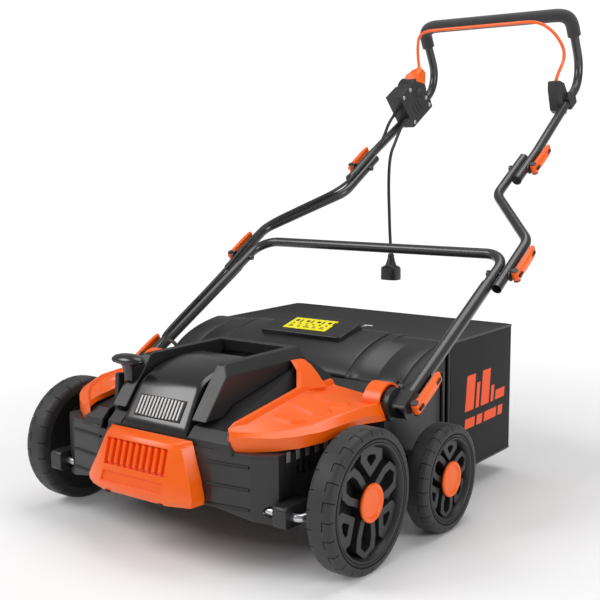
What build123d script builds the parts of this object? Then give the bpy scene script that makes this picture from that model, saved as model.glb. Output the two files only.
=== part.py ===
from build123d import *
import os
from math import atan2, cos, degrees, pi, radians, sin, sqrt, tan

# Lawn dethatcher with a folding handle and a catch bag. Millimetres, +Z up.
# The front faces -Y, and +X is the machine's left. Inside this file y is counted
# from the front wheel axis; the exported pieces are moved to the middle of the length.

# ---- driving sizes -------------------------------------------------------
FRONT_WHEEL_R = 108.0
REAR_WHEEL_R = 88.0
FRONT_TREAD_W = 43.0
REAR_TREAD_W = 40.0
TYRE_DEPTH = 20.0           # radial, tread to rim seat
FRONT_WHEEL_FACE_X = 320.0  # outer shoulder of the tyre
REAR_WHEEL_FACE_X = 330.0
WHEELBASE = 220.0
AXLE_R = 6.0
AXLE_RUN = 0.08             # radial running clearance in a hub
CAP_R = 29.0
CAP_STEM_R = 13.0
CRANK_PIVOT_Y = -95.0
CRANK_PIVOT_Z = 100.0
CRANK_ARM_X = 263.0         # centre of the bent arm
CRANK_BEND_R = 10.0

WALL = 4.0                  # moulded shells
GAP = 0.5                   # between pieces that do not touch
DECK_HALF = 224.0           # between the front wheels
REAR_HALF = 246.0           # chute, behind the front wheels
DECK_FRONT_Y = -122.0
DECK_REAR_Y = 328.0
SKIRT_Z = 80.0
ROOF_Z = 138.0              # underside of the front roof plate
DECK_TOP_Z = 178.0          # joint between housing and top cover

ROTOR_Y = 105.0
ROTOR_Z = 84.0
TINE_TIP_R = 72.0
DISC_R = 33.0
DISC_T = 3.0
DISC_PITCH = 17.4
DISC_COUNT = 23
ROTOR_LEFT_X = 184.0        # carrier's end beside the belt
ROTOR_SHAFT_R = 8.0
TINE_WIRE_R = 1.2
TINE_ROD_R = 3.0
TINE_ROD_CIRCLE_R = 25.0
BEARING_R = 20.0
BEARING_T = 9.0
BEARING_RUN = 0.05

MOTOR_Y = -25.0
MOTOR_Z = 188.0
MOTOR_R = 41.0
MOTOR_LEN = 116.0
ARMATURE_R = 26.0
MOTOR_SHAFT_R = 5.0
BELT_X = 210.0              # belt's middle plane
BELT_W = 9.0
BELT_T = 2.5
MOTOR_PULLEY_R = 11.0
ROTOR_PULLEY_R = 27.5
PARTITION_X = 196.0         # inner face of the belt cover

HOOD_HALF = 70.0
FRAME_IN = 70.0             # inner face of the carry rail
RAIL_W = 14.0               # of its flat top
RAIL_OUT = 98.0             # outer face, below the chamfers
RAIL_H = 20.0
RAIL_FOOT_Z = 215.0
RAIL_TOP_Z = 291.0
RAIL_REAR_Y = 138.0

PIVOT_Y = 143.0
PIVOT_Z = 217.0
PIVOT_DISC_R = 27.0
PIVOT_DISC_X = 260.0
PIVOT_DISC_T = 11.0
LEG_X = 284.0
LEG_R = 11.0
TUBE_R = 9.5
TUBE_WALL = 1.5
TUBE_FIT = 0.1
LOWER_TILT = 29.9           # handle slope, degrees above the ground
UPPER_TILT = 31.2
LEG_LEN = 322.0
TUBE_GAP = 0.6              # between tubes clamped side by side
MID_CLAMP_S = 356.0         # along the lower handle from the pivot
CROSS_BEND_R = 44.0
CROSS_S = 416.0
MID_LEN = 351.0             # middle clamp to upper clamp
NARROW_X = 181.0            # middle tube's upper stretch
TUBE_TAIL = 42.0            # tube beyond a clamp
BOLT_R = 3.0
BOLT_RUN = 0.1
BOLT_HEAD_R = 6.0
CUP_R = 11.0
CUP_T = 2.0

UPPER_LEN = 384.0           # upper clamp to the bend
UPPER_TOP_X = 184.0
RISE_Y = -76.0              # from the bend to the grip bar
RISE_Z = 133.0
UPPER_BEND_R = 62.0
GRIP_BEND_R = 42.0
GRIP_R = 15.0
GRIP_DOWN = 50.0            # of grip down each leg

LEVER_LEN = 80.0
LEVER_W = 18.0
LEVER_T = 8.0
LEVER_HUB_R = 7.5
LEVER_PIN_R = 4.0

BOX_LEN = 100.0
BOX_H = 92.0
BOX_T = 40.0
BOX_FACE_X = -164.0
BOX_BELOW = 13.0            # below the tube's axis
HUMP_R = 37.0
BAIL_R = 3.5
BAIL_HALF = 148.0
BAIL_HUB_R = 13.0

FLAP_HALF = 254.0
FLAP_HINGE_Y = 188.0
FLAP_HINGE_Z = 236.0
FLAP_PIN_R = 4.0
FLAP_FRONT_Y = 185.0
FLAP_REAR_Y = 330.0
FLAP_TOP_Z = 292.0

BAG_HALF = 257.0
BAG_FRONT_Y = 340.0
BAG_REAR_Y = 592.0
BAG_TOP_Z = 284.0
BAG_BOTTOM_Z = 43.0
BAG_WALL = 3.0
BAG_CORNER_R = 14.0
BAG_FRAME_R = 4.0

CORD_R = 3.5
PLUG_TOP_Z = 382.0

LEVER_X = -105.0
KNOB_X = -84.0
LEVER_LEAN = 4.0
LEVER_REACH = 176.0
KNOB_W = 54.0
KNOB_D = 28.0
KNOB_H = 20.0

COVER_TOP = 271.0
POCKET = (-74.0, 74.0, 64.0, 128.0, 226.0)
SLOT_COUNT = 5
SLOT_PITCH = 14.0
VENT_W = 96.0
VENT_H = 34.0
VENT_BARS = 13

RAIL_KNEE_Y = -45.0         # underside of the rail turns down to its foot
RAIL_KNEE_Z = 229.5

GRILLE_RIBS = 9
GRILLE_PITCH = 12.6
GRILLE_LOW_Z = 97.0
GRILLE_TOP_Z = 189.0
GRILLE_FOOT = 125.0         # half its width at the skirt
GRILLE_FLOOR_Y = -157.0     # of the sunk window, at its lower edge
FAIRING_T = 3.0

PAD_HALF = 90.0
PAD_TILT = 14.0
PAD_Y = 291.0
PAD_Z = 287.0

BUTTON_R = 7.0
BAIL_AHEAD = -86.0
BAIL_BELOW = -22.0

GLAND_LEN = 22.0
GLAND_R = 5.5
GLAND_SUNK = 5.0
LEAD_UP = 54.0
MAINS_UP = 27.0
LEAD_END_X = -216.0
LEAD_END_Y = 165.0
LEAD_X = -184.0
MAINS_X = -173.0

MID_X = LEG_X + LEG_R + TUBE_R + TUBE_GAP
UPPER_X = NARROW_X + 2 * TUBE_R + TUBE_GAP
BEND_OUT_S = 103.0          # middle tube starts to lean in
BEND_IN_S = 252.0           # and runs straight again
MIDDLE_BEND_R = 48.0
CLAMP_GAP = 0.5


# ---- helpers -------------------------------------------------------------
def lower_point(x, s, lift=0.0):
    """A point s mm up the lower handle from its pivot, lifted off its plane."""
    a = radians(LOWER_TILT)
    return Vector(x, PIVOT_Y + s * cos(a) - lift * sin(a), PIVOT_Z + s * sin(a) + lift * cos(a))


def upper_point(x, s, lift=0.0):
    """A point s mm up the middle and upper handle from the middle clamp."""
    a = radians(UPPER_TILT)
    foot = lower_point(x, MID_CLAMP_S)
    return foot + Vector(0, s * cos(a) - lift * sin(a), s * sin(a) + lift * cos(a))


def rod_x(r, x0, x1, y, z):
    return Pos((x0 + x1) / 2, y, z) * Rot(0, 90, 0) * Cylinder(r, abs(x1 - x0))


def ring_x(r_out, r_in, x0, x1, y, z):
    return rod_x(r_out, x0, x1, y, z) - rod_x(r_in, x0, x1, y, z)


def block(x0, x1, y0, y1, z0, z1):
    return Pos((x0 + x1) / 2, (y0 + y1) / 2, (z0 + z1) / 2) * Box(x1 - x0, y1 - y0, z1 - z0)


def yz_prism(points, x0, x1):
    """A closed outline of (y, z) points carried along X."""
    face = Plane.YZ * make_face(Polyline(*points, close=True))
    return Pos(x0, 0, 0) * extrude(face, amount=x1 - x0)


def xz_prism(points, y0, y1):
    face = Plane(origin=(0, y0, 0), x_dir=(1, 0, 0), z_dir=(0, -1, 0)) * make_face(Polyline(*points, close=True))
    return extrude(face, amount=-(y1 - y0))


def bar_yz(p, q, width, x0, x1):
    """A flat bar between two (y, z) points."""
    dy = q[0] - p[0]
    dz = q[1] - p[1]
    turn = degrees(atan2(dz, dy))
    middle = Pos((x0 + x1) / 2, (p[0] + q[0]) / 2, (p[1] + q[1]) / 2)
    return middle * Rot(turn, 0, 0) * Box(x1 - x0, sqrt(dy * dy + dz * dz), width)


def tube(points, radii, r_out, r_in=0.0):
    """A round bar or tube along straight runs joined by tangent arcs."""
    path = FilletPolyline(*points, radius=radii)
    section = Circle(r_out)
    if r_in:
        section = section - Circle(r_in)
    return sweep(Plane(origin=path @ 0, z_dir=path % 0) * section, path=path)


def both(shape):
    """A right-hand piece and its mirror image."""
    return Compound(children=[shape, mirror(shape, about=Plane.YZ)])


def tube_straight(r, start, end):
    way = end - start
    return extrude(Plane(origin=start, z_dir=way.normalized()) * Circle(r), amount=way.length)


# ---- wheels --------------------------------------------------------------
def tyre(r, width, face_x, y, z):
    ring = ring_x(r, r - TYRE_DEPTH, face_x - width, face_x, y, z)
    return fillet(ring.edges().filter_by(GeomType.CIRCLE).filter_by(lambda e: e.radius > r - 1), 5.0)


def rim(r, width, face_x, y, z):
    seat = r - TYRE_DEPTH
    x0 = face_x - width
    shape = ring_x(seat, seat - 6.0, x0 + 2.0, face_x - 2.0, y, z)
    shape += rod_x(16.0, x0 + 6.0, face_x - 12.0, y, z)
    for turn in (30.0, 150.0, 270.0):
        for side in (-1, 1):
            shape += spoke(seat, face_x, y, z, turn, side)
            shape += pocket_bar(seat, face_x, y, z, turn + 60.0, side)
    shape -= rod_x(CAP_STEM_R + TUBE_FIT, face_x - 12.0, face_x, y, z)
    return shape - rod_x(AXLE_R + AXLE_RUN, x0 - 1.0, face_x, y, z)


def polar(y, z, r, turn):
    return (y + r * cos(radians(turn)), z + r * sin(radians(turn)))


def spoke(seat, face_x, y, z, turn, side):
    """One of the two arms that make a loop from the hub to the rim."""
    near = polar(y, z, 15.0, turn + side * 40.0)
    far = polar(y, z, seat - 3.0, turn + side * 14.0)
    return bar_yz(near, far, 8.0, face_x - 24.0, face_x - 9.0)


def pocket_bar(seat, face_x, y, z, turn, side):
    """One side of the small triangular pocket between two loops."""
    near = polar(y, z, seat * 0.56, turn)
    far = polar(y, z, seat - 3.0, turn + side * 22.0)
    return bar_yz(near, far, 7.0, face_x - 20.0, face_x - 9.0)


def hub_cap(face_x, y, z):
    disc = rod_x(CAP_R, face_x - 5.0, face_x + 1.5, y, z)
    disc = fillet(disc.edges().filter_by(GeomType.CIRCLE), 2.0)
    dish = rod_x(CAP_R - 7.0, face_x - 0.5, face_x + 3.0, y, z)
    return disc - dish + rod_x(CAP_STEM_R, face_x - 12.0, face_x - 4.5, y, z)


def front_axle():
    """A bent bar: it turns in the brackets and its arms carry the wheels."""
    end = FRONT_WHEEL_FACE_X - 14.0
    row = [(-end, 0, FRONT_WHEEL_R), (-CRANK_ARM_X, 0, FRONT_WHEEL_R),
           (-CRANK_ARM_X, CRANK_PIVOT_Y, CRANK_PIVOT_Z), (CRANK_ARM_X, CRANK_PIVOT_Y, CRANK_PIVOT_Z),
           (CRANK_ARM_X, 0, FRONT_WHEEL_R), (end, 0, FRONT_WHEEL_R)]
    return tube(row, [CRANK_BEND_R] * 4, AXLE_R)


def rear_axle():
    end = REAR_WHEEL_FACE_X - 14.0
    return rod_x(AXLE_R, -end, end, WHEELBASE, REAR_WHEEL_R)


def depth_lever():
    a = radians(LEVER_LEAN)
    top = (CRANK_PIVOT_Y + LEVER_REACH * sin(a), CRANK_PIVOT_Z + LEVER_REACH * cos(a))
    hub = rod_x(12.0, LEVER_X - 5.0, LEVER_X + 5.0, CRANK_PIVOT_Y, CRANK_PIVOT_Z)
    arm = bar_yz((CRANK_PIVOT_Y, CRANK_PIVOT_Z), top, 14.0, LEVER_X - 4.0, LEVER_X + 4.0)
    knob = Box(KNOB_W, KNOB_D, KNOB_H)
    knob = fillet(knob.edges(), 8.0)
    lever = hub + arm + Pos(KNOB_X, top[0], top[1] + KNOB_H / 2 - 2.0) * knob
    bore = rod_x(AXLE_R, LEVER_X - 8.0, LEVER_X + 8.0, CRANK_PIVOT_Y, CRANK_PIVOT_Z)
    return lever - bore


def axle_brackets():
    body = block(DECK_HALF, 248.0, CRANK_PIVOT_Y - 17.0, -44.0, 84.0, 116.0)
    body = fillet(body.edges().filter_by(Axis.X), 6.0)
    hole = rod_x(AXLE_R + AXLE_RUN, DECK_HALF - 2.0, 250.0, CRANK_PIVOT_Y, CRANK_PIVOT_Z)
    return both(body - hole)


# ---- deck ----------------------------------------------------------------
def deck_outline(inset=0.0):
    half = [(120, DECK_FRONT_Y), (186, DECK_FRONT_Y + 9), (221, DECK_FRONT_Y + 30), (DECK_HALF, -60),
            (DECK_HALF, 112), (REAR_HALF, 124), (REAR_HALF, DECK_REAR_Y)]
    other = [(-x, y) for x, y in reversed(half)]
    face = make_face(Polyline(*half, *other, close=True))
    if inset:
        face = offset(face, amount=-inset, kind=Kind.INTERSECTION)
    return face


def deck_housing():
    height = DECK_TOP_Z - SKIRT_Z
    shell = extrude(deck_outline(), amount=height) - extrude(deck_outline(WALL), amount=height)
    shell = Pos(0, 0, SKIRT_Z) * shell
    inner = DECK_HALF - WALL + 1.0
    roof = [(DECK_FRONT_Y + 2, ROOF_Z), (15, ROOF_Z), (45, 162), (130, 171), (190, DECK_TOP_Z - 6),
            (190, DECK_TOP_Z), (128, DECK_TOP_Z - 2), (42, 167), (12, ROOF_Z + WALL), (DECK_FRONT_Y + 2, ROOF_Z + WALL)]
    plate = yz_prism(roof, -inner, inner) & extrude(Pos(0, 0, SKIRT_Z) * deck_outline(1.0), amount=height)
    chute_x = REAR_HALF - WALL + 1.0
    floor = yz_prism([(184, 97), (DECK_REAR_Y, 112), (DECK_REAR_Y, 116), (184, 101)], -chute_x, chute_x)
    cheek = yz_prism([(180, DECK_TOP_Z), (DECK_REAR_Y, DECK_TOP_Z), (DECK_REAR_Y, 268), (196, 222), (180, 222)],
                     REAR_HALF - WALL, REAR_HALF)
    ear = rod_x(8.0, REAR_HALF - WALL, REAR_HALF, FLAP_HINGE_Y, FLAP_HINGE_Z)
    ear += block(REAR_HALF - WALL, REAR_HALF, FLAP_HINGE_Y - 8, FLAP_HINGE_Y + 8, 200, FLAP_HINGE_Z)
    ear -= rod_x(FLAP_PIN_R + AXLE_RUN, REAR_HALF - 6, REAR_HALF + 1, FLAP_HINGE_Y, FLAP_HINGE_Z)
    pillar = block(230, PIVOT_DISC_X, PIVOT_Y - 17, PIVOT_Y + 17, 150, PIVOT_Z + 16)
    pillar = pillar - rod_x(BOLT_HEAD_R + GAP, 229, PIVOT_DISC_X + 1, PIVOT_Y, PIVOT_Z)
    lug = block(REAR_HALF - 1, REAR_HALF + 12, WHEELBASE - 16, WHEELBASE + 16, REAR_WHEEL_R - 14, 118)
    for piece in (cheek + ear, pillar, lug):
        shell += piece + mirror(piece, about=Plane.YZ)
    shell += plate + floor
    shell -= block(-REAR_HALF + 12, REAR_HALF - 12, DECK_REAR_Y - WALL - 1, DECK_REAR_Y + 1, 116, DECK_TOP_Z + 1)
    low = [(-220, SKIRT_Z - 1), (-GRILLE_FOOT, GRILLE_LOW_Z), (GRILLE_FOOT, GRILLE_LOW_Z), (220, SKIRT_Z - 1)]
    shell -= xz_prism(low, DECK_FRONT_Y - 1, DECK_FRONT_Y + 34)
    shell -= rod_x(AXLE_R + 3.0, -REAR_HALF, REAR_HALF, CRANK_PIVOT_Y, CRANK_PIVOT_Z)
    shell -= rod_x(AXLE_R + 0.05, -300, 300, WHEELBASE, REAR_WHEEL_R)
    shell -= block(LEVER_X - 7, LEVER_X + 7, -118, -70, ROOF_Z - 1, ROOF_Z + WALL + 1)
    shell -= block(BELT_X - 9, DECK_HALF - WALL, MOTOR_Y - 32, ROTOR_Y + 34, ROOF_Z - 1, DECK_TOP_Z)
    shell -= block(-MOTOR_LEN / 2 - 6, BELT_X, MOTOR_Y - MOTOR_R - 4, MOTOR_Y + MOTOR_R + 2, ROOF_Z + 3, DECK_TOP_Z)
    return vent_slots(shell)


def vent_slots(shell):
    """A row of upright cooling slots high on both skirts."""
    for i in range(SLOT_COUNT):
        y = -52 + i * SLOT_PITCH
        slot = block(DECK_HALF - WALL - 1, DECK_HALF + 1, y, y + 7, 146, 168)
        shell -= slot + mirror(slot, about=Plane.YZ)
    return shell


def shaft_notch():
    """Room for the motor's shaft between its can and the belt."""
    return block(MOTOR_LEN / 2, DECK_HALF, MOTOR_Y - 9, MOTOR_Y + 9, 170, MOTOR_Z + 10)


def cover_block(inset):
    """The raised middle of the cover: side profile met with a tapering front view."""
    base = DECK_TOP_Z - inset
    side = [(DECK_FRONT_Y + 2 + inset, base), (DECK_FRONT_Y + 4 + inset, 192 - inset), (-102 + inset, 206 - inset),
            (-68 + inset, RAIL_FOOT_Z - 1 - inset), (RAIL_KNEE_Y + inset, RAIL_KNEE_Z - 1.2 - inset),
            (RAIL_REAR_Y, RAIL_TOP_Z - RAIL_H - 1.2 - inset), (152, 265 - inset), (180 - inset, 238 - inset),
            (182 - inset, base)]
    front = [(-158 + inset, base), (-140 + inset, 214), (-99 + inset, COVER_TOP), (99 - inset, COVER_TOP),
             (140 - inset, 214), (158 - inset, base)]
    return yz_prism(side, -170, 170) & xz_prism(front, -150, 200)


def cowl(inset):
    """The low rear part that meets the flap."""
    side = [(118 + inset, DECK_TOP_Z - inset), (118 + inset, 206 - inset), (150, 222 - inset),
            (182 - inset, 236 - inset), (182 - inset, DECK_TOP_Z - inset)]
    half = 226 - inset
    return yz_prism(side, -half, half)


def top_cover():
    x0, x1, y0, y1, z0 = POCKET
    flange = Pos(0, 0, DECK_TOP_Z) * extrude(deck_outline(0.5), amount=WALL)
    flange = flange & block(-230, 230, DECK_FRONT_Y, 182, DECK_TOP_Z, DECK_TOP_Z + WALL)
    outer = flange + cover_block(0.0) + cowl(0.0)
    outer = outer & block(-300, 300, -200, 200, DECK_TOP_Z, 400)
    hollow = cover_block(WALL) + cowl(WALL)
    hollow -= block(x0 - WALL, x1 + WALL, y0 - WALL, y1 + WALL, z0 - WALL, 400)
    shell = outer - hollow - block(x0, x1, y0, y1, z0, 400)
    shell -= block(-HOOD_HALF - 1, HOOD_HALF + 1, -118, 60.5, 150, 400)
    shell -= block(LEVER_X - 7, LEVER_X + 7, -128, -54, 150, 245)
    shell -= block(BELT_X - 10, DECK_HALF - WALL - 1, MOTOR_Y - 20, MOTOR_Y + 45, 170, 200)
    shell -= shaft_notch()
    shell -= Pos(LEAD_END_X, LEAD_END_Y, 230) * Cylinder(CORD_R + 1.0, 60)
    pillar = block(229.5, 262, PIVOT_Y - 17.5, PIVOT_Y + 17.5, 100, 300)
    shell -= pillar + mirror(pillar, about=Plane.YZ)
    return shell


def vent_place():
    """The middle of the vent window on the hood's sloping front."""
    return Pos(0, -102.5, 221.5) * Rot(58, 0, 0)


def hood_vent():
    """Upright silver bars between two rails."""
    frame = Box(VENT_W - 1, VENT_H - 1, 4) - Box(VENT_W - 7, VENT_H - 7, 6)
    pitch = (VENT_W - 7) / VENT_BARS
    for i in range(VENT_BARS):
        frame += Pos((i - (VENT_BARS - 1) / 2) * pitch, 0, 0) * Box(pitch * 0.6, VENT_H - 5, 2.4)
    return vent_place() * frame


def motor_hood():
    side = [(-117, 183), (-117, 200), (-112, 206), (-92, 238), (-72, 258), (-40, 272), (10, 282), (52, 280),
            (59.5, 262), (59.5, 183)]
    inner = [(y + (3.0 if y < 0 else -3.0), z - 3.0) for y, z in side]
    taper = [(-HOOD_HALF, 170), (-HOOD_HALF + 10, 290), (HOOD_HALF - 10, 290), (HOOD_HALF, 170)]
    thin = [(-HOOD_HALF + 3, 170), (-HOOD_HALF + 13, 290), (HOOD_HALF - 13, 290), (HOOD_HALF - 3, 170)]
    shell = (yz_prism(side, -80, 80) & xz_prism(taper, -150, 80))
    shell -= (yz_prism(inner, -80, 80) & xz_prism(thin, -150, 80))
    return shell - vent_place() * Box(VENT_W, VENT_H, 20) - shaft_notch()


def carry_frame():
    """Two chamfered rails and a rear bar: the hand goes between the bar and the hood."""
    low = RAIL_TOP_Z - RAIL_H
    foot = RAIL_FOOT_Z
    rail = [(-108, foot), (-49, RAIL_TOP_Z - 2), (-42, RAIL_TOP_Z), (RAIL_REAR_Y, RAIL_TOP_Z),
            (RAIL_REAR_Y, low), (RAIL_KNEE_Y, RAIL_KNEE_Z), (-70, foot)]
    section = [(FRAME_IN, foot), (FRAME_IN, RAIL_TOP_Z), (FRAME_IN + RAIL_W, RAIL_TOP_Z),
               (RAIL_OUT - 7, RAIL_TOP_Z - 8), (RAIL_OUT, low + 4), (RAIL_OUT, foot)]
    side = yz_prism(rail, FRAME_IN - 1, RAIL_OUT + 1) & xz_prism(section, -120, RAIL_REAR_Y + 1)
    bar = block(-FRAME_IN - 1, FRAME_IN + 1, RAIL_REAR_Y - RAIL_W, RAIL_REAR_Y, low, RAIL_TOP_Z)
    return side + mirror(side, about=Plane.YZ) + bar


def grille_level(z, flat, front, ridge, ridge_y, root, inset):
    """The grille's outline at one height: flat front, a facet to each ridge, and back to the deck."""
    half = [(flat - inset / 2, front + inset), (ridge - inset, ridge_y + inset), (root - inset, DECK_FRONT_Y - GAP)]
    other = [(-x, y) for x, y in reversed(half)]
    return Pos(0, 0, z) * make_face(Polyline(*half, *other, close=True))


def grille_block(inset):
    top = GRILLE_TOP_Z - inset
    levels = [(GRILLE_LOW_Z + inset, 65, -160, 104, -149, 106), (111, 66, -169, 109, -152, 107),
              (139, 63, -163, 97, -147, 100), (180, 63, -151, 79, -140, 88), (top, 62, -144, 75, -136, 84)]
    return loft([grille_level(*level, inset) for level in levels], ruled=True)


def front_grille():
    """A hollow domed mask with a sunk window and upright ribs."""
    body = grille_block(0.0) - grille_block(WALL)
    sunk = [(-190, 139), (GRILLE_FLOOR_Y, 139), (GRILLE_FLOOR_Y + 11.5, 180), (-190, 180)]
    back = [(y + WALL, z) for y, z in sunk[1:3]]
    floor = yz_prism([sunk[1], sunk[2], back[1], back[0]], -63, 63)
    body = body - yz_prism(sunk, -61, 61) + floor
    for i in range(GRILLE_RIBS):
        x = (i - (GRILLE_RIBS - 1) / 2) * GRILLE_PITCH
        body += Pos(x, GRILLE_FLOOR_Y + 4.5, 159.5) * Rot(-15.7, 0, 0) * Box(6, 7, 42)
    return body


def fairing_section(y, x_out, z_low, z_edge, x_in, z_in):
    """One cross-section of the near fairing: outer band, then the sloping top."""
    t = FAIRING_T
    points = [(x_in, z_in), (x_out - 5, z_edge), (x_out, z_low), (x_out - t, z_low),
              (x_out - 5 - t, z_edge - t), (x_in, z_in - t - 0.5)]
    plane = Plane(origin=(0, y, 0), x_dir=(1, 0, 0), z_dir=(0, -1, 0))
    return plane * make_face(Polyline(*points, close=True))


def fairing():
    stations = [(-113, 159, 183, 206, 147, 213), (-85, 202, 185, 206, 144, 222), (-62, 243, 193, 213, 144, 227),
                (-10, 265, 199, 221, 143, 234), (60, 265, 198, 225, 142, 244), (108, 259, 194, 226, 140, 238),
                (150, 259, 190, 228, 137, 241)]
    shell = loft([fairing_section(*row) for row in stations], ruled=True)
    shell -= block(229, 263, PIVOT_Y - 18, PIVOT_Y + 18, 100, 240)
    arch = ring_x(34, 30.5, 229, PIVOT_DISC_X - 0.5, PIVOT_Y, PIVOT_Z)
    arch &= block(200, 300, PIVOT_Y - 40, PIVOT_Y + 40, PIVOT_Z + 3, 300)
    strap = xz_prism([(136, 230), (104, 284), (112, 284), (150, 230)], 60, 160)
    strap &= yz_prism([(64, 230), (112, 284), (124, 284), (148, 230)], 90, 160)
    return shell + arch + strap


def side_fairings():
    return both(fairing())


def pivot_discs():
    return both(ring_x(PIVOT_DISC_R, BOLT_R + BOLT_RUN, PIVOT_DISC_X, PIVOT_DISC_X + PIVOT_DISC_T, PIVOT_Y, PIVOT_Z))


# ---- drive ---------------------------------------------------------------
def motor_can():
    half = MOTOR_LEN / 2
    shell = ring_x(MOTOR_R, MOTOR_R - 3, -half, half, MOTOR_Y, MOTOR_Z)
    bell = ring_x(MOTOR_R - 2.9, MOTOR_SHAFT_R + AXLE_RUN, half - 5, half - 1, MOTOR_Y, MOTOR_Z)
    return shell + bell + mirror(bell, about=Plane.YZ)


def motor_armature():
    half = MOTOR_LEN / 2
    core = rod_x(ARMATURE_R, -half + 22, half - 16, MOTOR_Y, MOTOR_Z)
    commutator = rod_x(13, -half + 8, -half + 20, MOTOR_Y, MOTOR_Z)
    shaft = rod_x(MOTOR_SHAFT_R, -half + 0.5, BELT_X + 7, MOTOR_Y, MOTOR_Z)
    pulley = rod_x(MOTOR_PULLEY_R, BELT_X - 5.5, BELT_X + 5.5, MOTOR_Y, MOTOR_Z)
    return core + commutator + shaft + pulley


def belt_outline(extra):
    """The belt's loop round both pulleys, as a filled outline at X = 0."""
    small = Pos(MOTOR_Y, MOTOR_Z) * Circle(MOTOR_PULLEY_R + extra)
    large = Pos(ROTOR_Y, ROTOR_Z) * Circle(ROTOR_PULLEY_R + extra)
    return make_hull(Sketch(children=[small, large]).edges())


def drive_belt():
    loop = belt_outline(0.4 + BELT_T) - belt_outline(0.4)
    return Pos(BELT_X - BELT_W / 2, 0, 0) * extrude(Plane.YZ * loop, amount=BELT_W)


def belt_cover():
    outline = [(-60, 88), (-60, ROOF_Z - GAP), (18, ROOF_Z - GAP), (44, 158), (129, 168), (150, 169.5),
               (150, 60), (20, 60)]
    plate = yz_prism(outline, PARTITION_X, PARTITION_X + 3)
    return plate - rod_x(ROTOR_SHAFT_R + 1, PARTITION_X - 1, PARTITION_X + 4, ROTOR_Y, ROTOR_Z) \
        - rod_x(AXLE_R + 3, PARTITION_X - 1, PARTITION_X + 4, CRANK_PIVOT_Y, CRANK_PIVOT_Z)


def rotor_bearings():
    bore = ROTOR_SHAFT_R + BEARING_RUN
    left = ring_x(BEARING_R, bore, PARTITION_X - BEARING_T, PARTITION_X, ROTOR_Y, ROTOR_Z)
    wall = DECK_HALF - WALL
    right = ring_x(BEARING_R, bore, -wall, -wall + BEARING_T, ROTOR_Y, ROTOR_Z)
    return Compound(children=[left, right])


def rotor_shaft():
    shaft = rod_x(ROTOR_SHAFT_R, -DECK_HALF + WALL + 2, BELT_X + 7, ROTOR_Y, ROTOR_Z)
    return shaft + rod_x(ROTOR_PULLEY_R, BELT_X - 5.5, BELT_X + 5.5, ROTOR_Y, ROTOR_Z)


def disc_x(i):
    return ROTOR_LEFT_X - DISC_T / 2 - i * DISC_PITCH


def tine_discs():
    """A hub sleeve with thin discs, and four rods that the tines coil round."""
    x0 = disc_x(DISC_COUNT - 1) - DISC_T / 2
    body = rod_x(13.0, x0, ROTOR_LEFT_X, ROTOR_Y, ROTOR_Z)
    for i in range(DISC_COUNT):
        body += rod_x(DISC_R, disc_x(i) - DISC_T / 2, disc_x(i) + DISC_T / 2, ROTOR_Y, ROTOR_Z)
    for turn in (0, 90, 180, 270):
        y, z = polar(ROTOR_Y, ROTOR_Z, TINE_ROD_CIRCLE_R, turn)
        body += rod_x(TINE_ROD_R, x0, ROTOR_LEFT_X, y, z)
    return body - rod_x(ROTOR_SHAFT_R, x0 - 1, ROTOR_LEFT_X + 1, ROTOR_Y, ROTOR_Z)


def tine_pair(x, turn):
    """Two spring wires that share one coil on a rod."""
    y, z = polar(ROTOR_Y, ROTOR_Z, TINE_ROD_CIRCLE_R, turn)
    tip = polar(ROTOR_Y, ROTOR_Z, TINE_TIP_R, turn)
    pair = ring_x(TINE_ROD_R + 2.6, TINE_ROD_R, x - 5.5, x + 5.5, y, z)
    out = polar(0, 0, TINE_ROD_R + 1.0, turn)
    for dx in (-4.2, 4.2):
        root = Vector(x + dx, y + out[0], z + out[1])
        pair += tube_straight(TINE_WIRE_R, root, Vector(x + dx, tip[0], tip[1]))
    return pair


def spring_tines():
    pairs = []
    for turn in (0, 90, 180, 270):
        first = 0 if turn % 180 == 0 else 2
        for i in range(first, DISC_COUNT - 2, 4):
            pairs.append(tine_pair(disc_x(i) - DISC_PITCH / 2, turn))
    return Compound(children=pairs)


# ---- flap and bag --------------------------------------------------------
def flap_arc(lift):
    """Outer line of the flap in side view, raised by lift."""
    start = (FLAP_FRONT_Y, FLAP_HINGE_Z + lift)
    end = (FLAP_REAR_Y, FLAP_TOP_Z + lift)
    return start, (254, 272 + lift), end


def flap_band(x0, x1, top, bottom):
    a, b, c = flap_arc(top)
    d, e, f = flap_arc(bottom)
    lines = [ThreePointArc(a, b, c), Line(c, f), ThreePointArc(f, e, d), Line(d, a)]
    face = Plane.YZ * make_face(Curve() + lines)
    return Pos(x0, 0, 0) * extrude(face, amount=x1 - x0)


def pad_place(lift):
    return Pos(0, PAD_Y, PAD_Z + lift) * Rot(PAD_TILT, 0, 0)


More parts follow.
